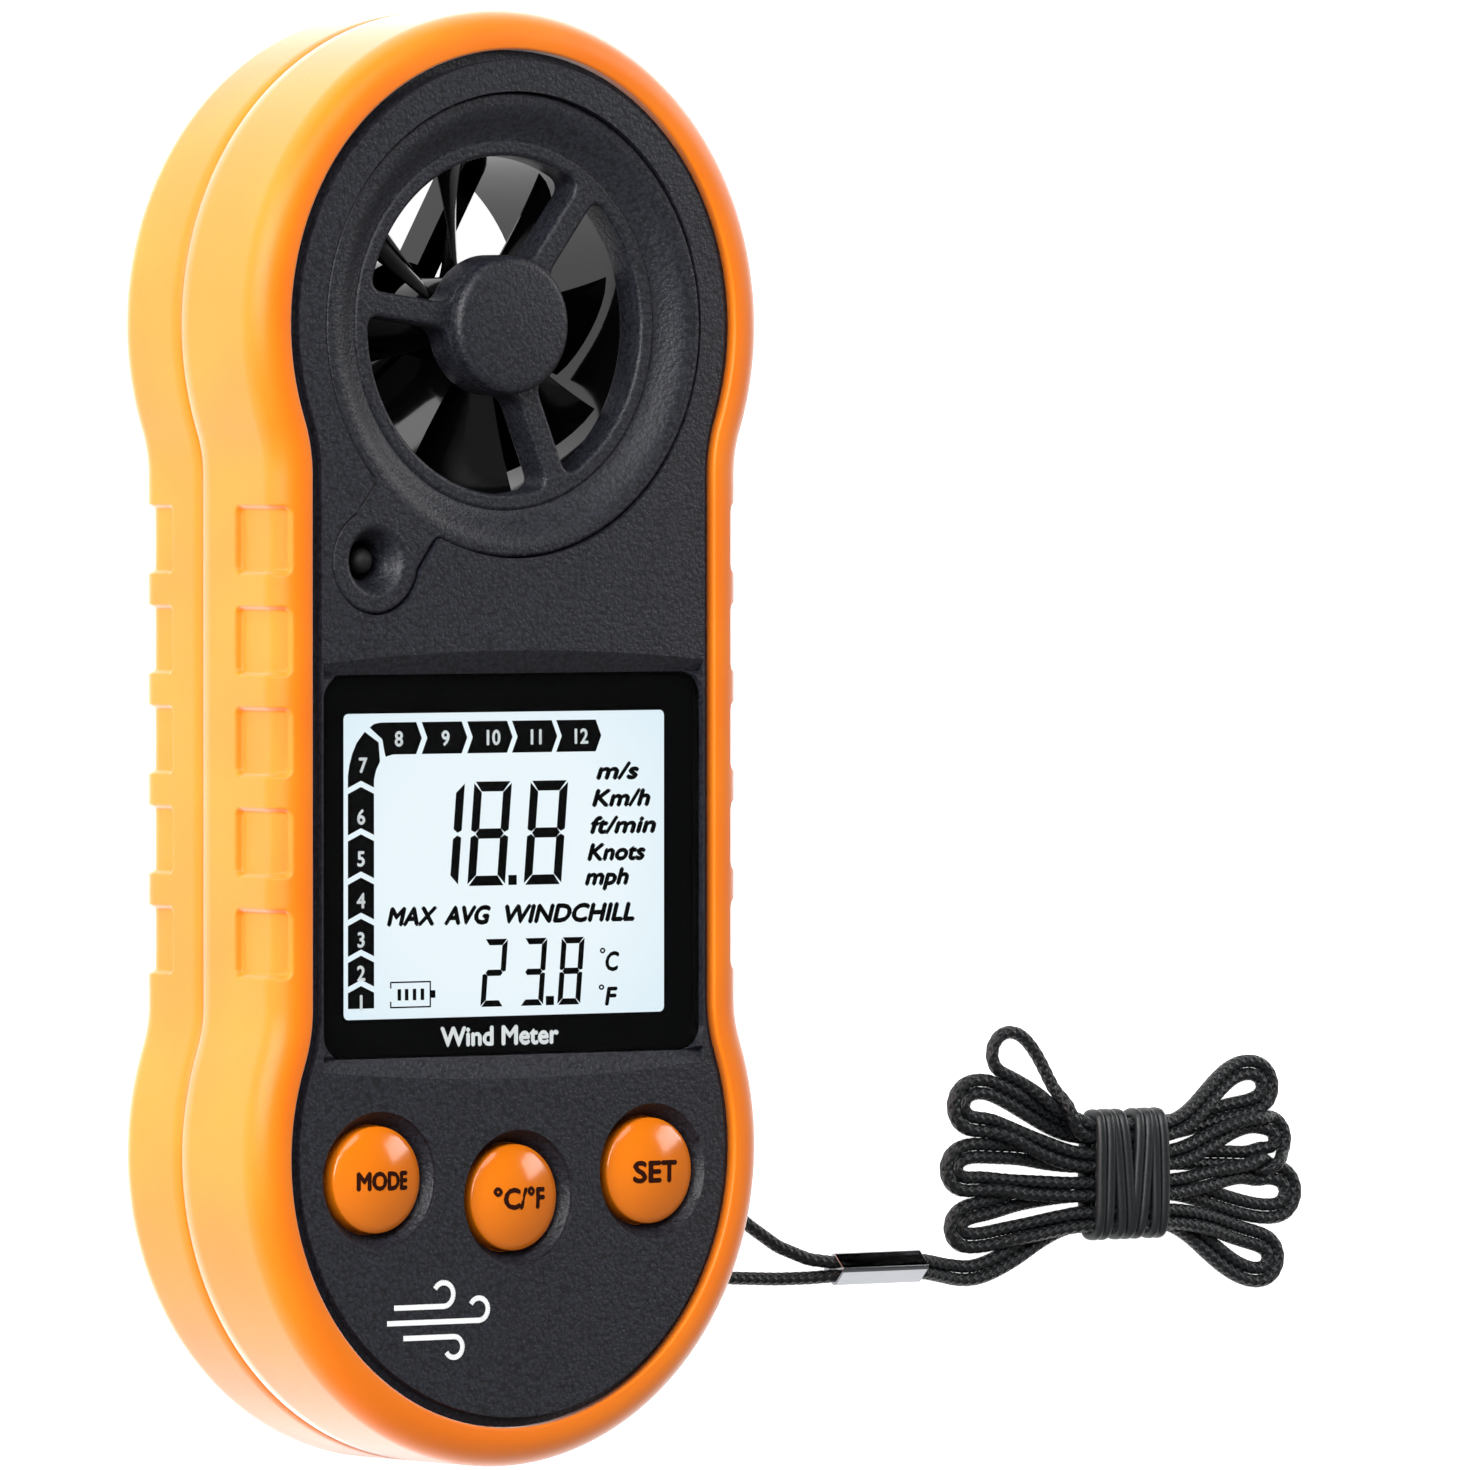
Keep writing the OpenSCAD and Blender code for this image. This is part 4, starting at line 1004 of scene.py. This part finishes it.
def flat_shape(name, outlines, z, material):
    """Thin printed shapes, from outlines in millimetres, joined in one piece."""
    points, faces = [], []
    for outline in map(anticlockwise, outlines):
        n, base = len(outline), len(points)
        points += [(x, y, z) for x, y in outline] + [(x, y, z + INK_T) for x, y in outline]
        faces.append(tuple(base + k for k in reversed(range(n))))
        faces.append(tuple(base + n + k for k in range(n)))
        faces += [(base + k, base + (k + 1) % n, base + n + (k + 1) % n, base + n + k) for k in range(n)]
    return new_piece(name, mesh_of(name, points, faces, False), material, "root")


def lettering(name, words, z, material, body="root"):
    """Thin printed words, joined in one piece: (text, x, y, cap height, align, slant, boldness, width).

    A word is stretched to its width, unless that is nought.
    """
    cap_share = 0.73
    printed = []
    for text, x, y, height, align, slant, bold, width in words:
        curve = bpy.data.curves.new(name, "FONT")
        curve.body = text
        curve.size = height / cap_share * MM
        curve.align_x = align
        curve.shear = slant
        curve.extrude = INK_T / 2 * MM
        curve.resolution_u = 3
        made = place(name, curve)
        bpy.context.view_layer.update()
        stretch = (width - 2 * bold) * MM / made.dimensions.x if width else 1
        # A bolder stroke is the same word printed a few times, each a little to one side
        for step, (dx, dy) in enumerate(((0, 0), (1, 0), (-1, 0), (0, 1), (0, -1))):
            mesh = finished_mesh(made)
            at = Vector((x + dx * bold, y + dy * bold, z + INK_T / 2 + 0.001 * step)) * MM
            mesh.transform(Matrix.Translation(at) @ Matrix.Diagonal((stretch, 1, 1, 1)))
            printed.append(mesh)
        bpy.data.objects.remove(made)
    return new_piece(name, join(name, printed), material, body)


# Places on the display are measured from its middle, in millimetres
DISPLAY = (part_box("lcd_panel")[0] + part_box("lcd_panel")[1]) / 2 / MM
DISPLAY_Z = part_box("lcd_panel")[1].z / MM + 0.01
SLANT = 0.086
CHEVRON_RISE, CHEVRON_GAP = 0.5, 0.44


def print_on_display(name, outlines):
    placed = [[(x + DISPLAY.x, y + DISPLAY.y) for x, y in outline] for outline in outlines]
    flat_shape(name, placed, DISPLAY_Z, PRINT)


def words_on_display(name, words, lift, ink):
    placed = [(text, x + DISPLAY.x, y + DISPLAY.y, *rest) for text, x, y, *rest in words]
    lettering(name, placed, DISPLAY_Z + lift, ink)


def chevrons():
    """The wind force scale: cells 1 to 6 up the left side, a bent 7 and 8, and 9 to 12 along the top."""
    left, right, foot, top, low, point = -13.74, -11.44, -10.17, 10.3, 8.0, 9.15
    middle = (left + right) / 2
    tips = [-8.54, -6.37, -3.73, -0.78, 2.32, 5.71]

    def arrow(y):
        return [(left, y - CHEVRON_RISE), (middle, y), (right, y - CHEVRON_RISE)]

    cells = [[(left, foot), (right, foot)] + arrow(tips[0])[::-1]]
    cells += [arrow(below + CHEVRON_GAP) + arrow(tip)[::-1] for below, tip in zip(tips, tips[1:])]
    cells.append(arrow(tips[-1] + CHEVRON_GAP) + [
        (right, 6.22), (-11.25, 6.9), (-10.91, 7.5), (-11.03, 8.88), (-12.25, 9.65), (-12.95, 8.88),
        (-13.35, 8.1), (-13.6, 7.3), (left, 6.5),
    ])
    starts = [-7.2, -3.15, 0.86, 4.83]
    cells.append([
        (-11.81, 9.95), (-11.44, 10.2), (-10.87, top), (starts[0] - CHEVRON_RISE, top), (starts[0], point),
        (starts[0] - CHEVRON_RISE, low), (-9.75, low), (-10.4, 7.84), (-10.55, 8.4), (-10.69, 9.09),
    ])
    for start in starts:
        end = start + 4.05
        cells.append([
            (start, top), (end - CHEVRON_RISE, top), (end, point), (end - CHEVRON_RISE, low),
            (start, low), (start + CHEVRON_RISE, point),
        ])
    return cells


def scale_numbers():
    """The numbers 1 to 12, each in the middle of its cell."""
    centres = [(-12.6, y) for y in (-9.7, -7.6, -5.2, -2.4, 0.6, 3.6)] + [(-12.45, 7.3), (-9.25, 9.15)]
    centres += [(x, 9.15) for x in (-5.1, -0.95, 3.0, 6.95)]
    height = 1.1
    return [
        (str(i + 1), x, y - height / 2, height, "CENTER", 0.0, 0.04, 0) for i, (x, y) in enumerate(centres)
    ]


def digit(x, y, width, height, thick, segments):
    """A slanted seven-segment digit centred at x, y.

    Its segments are top, upper right, lower right, bottom, lower left, upper left and middle.
    """
    w, h, t, g = width / 2, height / 2, thick, thick * 0.09
    bar = [(-w + g * 2, h), (w - g * 2, h), (w - t, h - t), (-w + t, h - t)]
    post = [(w, h - g * 2), (w, t / 2 - 0.1), (w - t / 2, g * 1.5), (w - t, t / 2), (w - t, h - t - g)]
    end = w - t / 2 - g
    middle = [(-end, 0), (-w + t, t / 2), (w - t, t / 2), (end, 0), (w - t, -t / 2), (-w + t, -t / 2)]
    shapes = [(bar, 1, 1), (post, 1, 1), (post, 1, -1), (bar, 1, -1)]
    shapes += [(post, -1, -1), (post, -1, 1), (middle, 1, 1)]
    found = []
    for shape, across, up in (shapes[index] for index in segments):
        found.append([(x + px * across + py * up * SLANT, y + py * up) for px, py in shape])
    return found


def box_outline(x, y, width, height):
    return [(x + a * width / 2, y + b * height / 2) for a, b in ((-1, -1), (1, -1), (1, 1), (-1, 1))]


def make_display():
    every, one, two, three = range(7), (1, 2), (0, 1, 6, 4, 3), (0, 1, 6, 2, 3)
    shapes = []
    for x, segments in ((-5.35, one), (-1.15, every), (3.9, every)):
        shapes += digit(x, 2.2, 3.35, 7.5, 0.72, segments)
    for x, segments in ((-0.75, two), (2.8, three), (6.15, every)):
        shapes += digit(x, -7.84, 2.05, 4.87, 0.45, segments)
    # The two decimal points, then the battery sign: its case, its cap and the bars in it
    shapes += [box_outline(0.9, -1.18, 0.74, 0.72), box_outline(4.25, -9.95, 0.72, 0.66)]
    shapes += [box_outline(-8.22, y, 3.54, 0.11) for y in (-8.35, -10.15)]
    shapes += [box_outline(-6.45, -9.25, 0.11, 1.9), box_outline(-6.2, -9.25, 0.4, 0.55)]
    shapes += [box_outline(-9.96, y, 0.11, 0.45) for y in (-8.55, -9.95)]
    shapes += [box_outline(x, -9.25, 0.3, 0.82) for x in (-9.2, -8.55, -7.85, -7.15)]
    print_on_display("display_segments", shapes)
    print_on_display("wind_force_scale", chevrons())
    words_on_display("wind_force_numbers", scale_numbers(), 0.03, WHITE_INK)
    units = (
        ("m/s", 8.35, 6.02, 3.9), ("Km/h", 7.95, 4.06, 5.3), ("ft/min", 7.77, 2.1, 6.0),
        ("Knots", 7.54, 0.15, 5.3), ("mph", 7.35, -1.62, 4.0),
    )
    modes = (("MAX", -10.35, 4.5), ("AVG", -5.15, 4.2), ("WINDCHILL", -0.05, 11.7))
    words = [(text, x, y, 1.2, "LEFT", 0.24, 0.09, width) for text, x, y, width in units]
    words += [(text, x, -4.25, 1.3, "LEFT", 0.24, 0.09, width) for text, x, width in modes]
    words.append(("C", 9.15, -7.87, 1.4, "LEFT", 0.15, 0.06, 1.25))
    words.append(("F", 9.1, -10.36, 1.32, "LEFT", 0.15, 0.06, 1.15))
    words += [("o", x, y, 0.55, "LEFT", 0.0, 0.03, 0.5) for x, y in ((8.75, -6.6), (8.65, -9.25))]
    words_on_display("display_words", words, 0.0, PRINT)


make_display()


def rounded_box(x, y, width, height, radius, steps=6):
    found = []
    for quarter, (across, up) in enumerate(((1, 1), (-1, 1), (-1, -1), (1, -1))):
        cx, cy = x + across * (width / 2 - radius), y + up * (height / 2 - radius)
        for a in np.linspace(quarter, quarter + 1, steps + 1) * math.pi / 2:
            found.append((cx + radius * math.cos(a), cy + radius * math.sin(a)))
    return found


def make_window_border():
    """The black border printed behind the window, with the display's opening in it."""
    low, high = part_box("lcd_window")
    centre = ((low + high) / 2 / MM).to_2d()
    outer = rounded_box(*centre, (high.x - low.x) / MM - 0.1, (high.y - low.y) / MM - 0.1, 0.8)
    inner = rounded_box(DISPLAY.x, DISPLAY.y, 28.7, 21.9, 0.4)
    n = len(outer)
    z = low.z / MM + 0.01
    points = [(x, y, height) for height in (z, z + 0.02) for outline in (outer, inner) for x, y in outline]
    faces = []
    for k in range(n):
        j = (k + 1) % n
        faces += [(k, n + k, n + j, j), (2 * n + k, 2 * n + j, 3 * n + j, 3 * n + k)]
        faces += [(k, j, 2 * n + j, 2 * n + k), (n + k, 3 * n + k, 3 * n + j, n + j)]
    new_piece("window_border", mesh_of("window_border", points, faces, False), PRINT, "root")
    word = ("Wind Meter", -0.5, -22.0, 1.4, "CENTER", 0.0, 0.07, 10.6)
    lettering("window_word", [word], z + 0.05, WHITE_INK)


def ribbon(ends, width):
    """The outline of a straight stroke of a given width."""
    start, end = (Vector(p) for p in ends)
    along = (end - start).normalized()
    side = Vector((-along.y, along.x)) * width / 2
    return [tuple(p) for p in (start - side, end - side, end + side, start + side)]


def drape(piece, node, lift=0.01):
    """Lays a flat marking over a CAD piece's upper surface."""
    mesh = NODES[node].data
    tree = BVHTree.FromPolygons([v.co for v in mesh.vertices], [f.vertices for f in mesh.polygons])
    for vertex in piece.data.vertices:
        above = Vector((vertex.co.x, vertex.co.y, 50 * MM))
        vertex.co.z += tree.ray_cast(above, Vector((0, 0, -1)))[0].z + lift * MM


def make_wind_symbol():
    """Three gusts, each a straight stroke that curls at its end."""
    gusts = ((-11.0, -40.6, 4.3, 0.85), (-11.6, -41.7, 8.0, 0.8), (-10.2, -42.8, 4.4, -0.75))
    shapes = []
    for start, y, length, curl in gusts:
        points = [(x, y) for x in np.linspace(start, start + length, 5)]
        for a in np.linspace(0.2, 4.2, 22):
            points.append((start + length + abs(curl) * math.sin(a), y + curl * (1 - math.cos(a))))
        shapes += [ribbon(pair, 0.38) for pair in zip(points, points[1:])]
    drape(flat_shape("wind_symbol", shapes, 0.0, WHITE_INK), "face_plate")


def make_key_labels():
    """Dark lettering laid over each key's dome."""
    words = (("MODE", 1.3, 4.5), ("\u00b0C/\u00b0F", 1.5, 4.6), ("SET", 1.55, 4.0))
    for key, (word, height, width) in zip(KEYS, words):
        low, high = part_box(key + "_button")
        middle = (low + high) / 2 / MM
        printed = [(word, middle.x, middle.y - height / 2, height, "CENTER", 0.0, 0.08, width)]
        label = lettering(key + "_label", printed, 0.0, BROWN_INK, key + "_key")
        drape(label, key + "_button")


make_window_border()
make_wind_symbol()
make_key_labels()


# ---- Room ----

FLOOR_W = 6000
FLOOR_GLOW = 0.98


def make_room():
    corners = [(x, y, CAD_BOX[0].z / MM) for x, y in box_outline(0, 0, FLOOR_W, FLOOR_W)]
    floor = place("floor", mesh_of("floor", corners, [(0, 1, 2, 3)], False))
    material = new_material("matt_white_acrylic_sheet")
    # Translucent white sheet lit from beneath as well: a plain pale ground without heavy shadows
    shader = add(material, "BsdfPrincipled", {
        "Base Color": "#F4F4F4", "Roughness": 0.9, "Specular IOR Level": 0.1,
        "Emission Color": "#FFFFFF", "Emission Strength": FLOOR_GLOW,
    })
    add(material, "OutputMaterial", {"Surface": shader})
    floor.data.materials.append(material)


def make_light(name, stand, size, power):
    """A soft box at a place in metres, turned towards the meter."""
    data = bpy.data.lights.new(name, "AREA")
    data.shape = "RECTANGLE"
    data.size, data.size_y = size
    data.energy = power
    lamp = place(name, data)
    lamp.location = stand
    lamp.rotation_euler = (Vector((0, 0, 0.01)) - lamp.location).to_track_quat("-Z", "Y").to_euler()


def make_world(bright, dark):
    """Soft surroundings, bright below the meter and darker beyond its fan end."""
    world = bpy.data.worlds.new("studio")
    world.use_nodes = True
    world.node_tree.nodes.clear()
    towards = add(world, "TexCoord", out="Generated")
    across = add(world, "SeparateXYZ", {"Vector": towards}, "Y")
    reach = {"From Min": -0.5, "From Max": 0.6, "To Min": bright, "To Max": dark}
    strength = add(world, "MapRange", {"Value": across, **reach})
    ground = add(world, "Background", {"Color": "#FFFFFF", "Strength": strength})
    add(world, "OutputWorld", {"Surface": ground})
    bpy.context.scene.world = world


make_room()
make_world(0.3, 0.0)
make_light("left_softbox", (-0.7, 0.3, 0.3), (0.5, 0.8), 12.5)
make_light("right_softbox", (0.8, 0.3, 0.35), (0.25, 0.7), 3.0)
make_light("top_softbox", (-0.25, 0.75, 0.75), (0.8, 0.5), 5)
bpy.context.scene.view_settings.view_transform = "Standard"
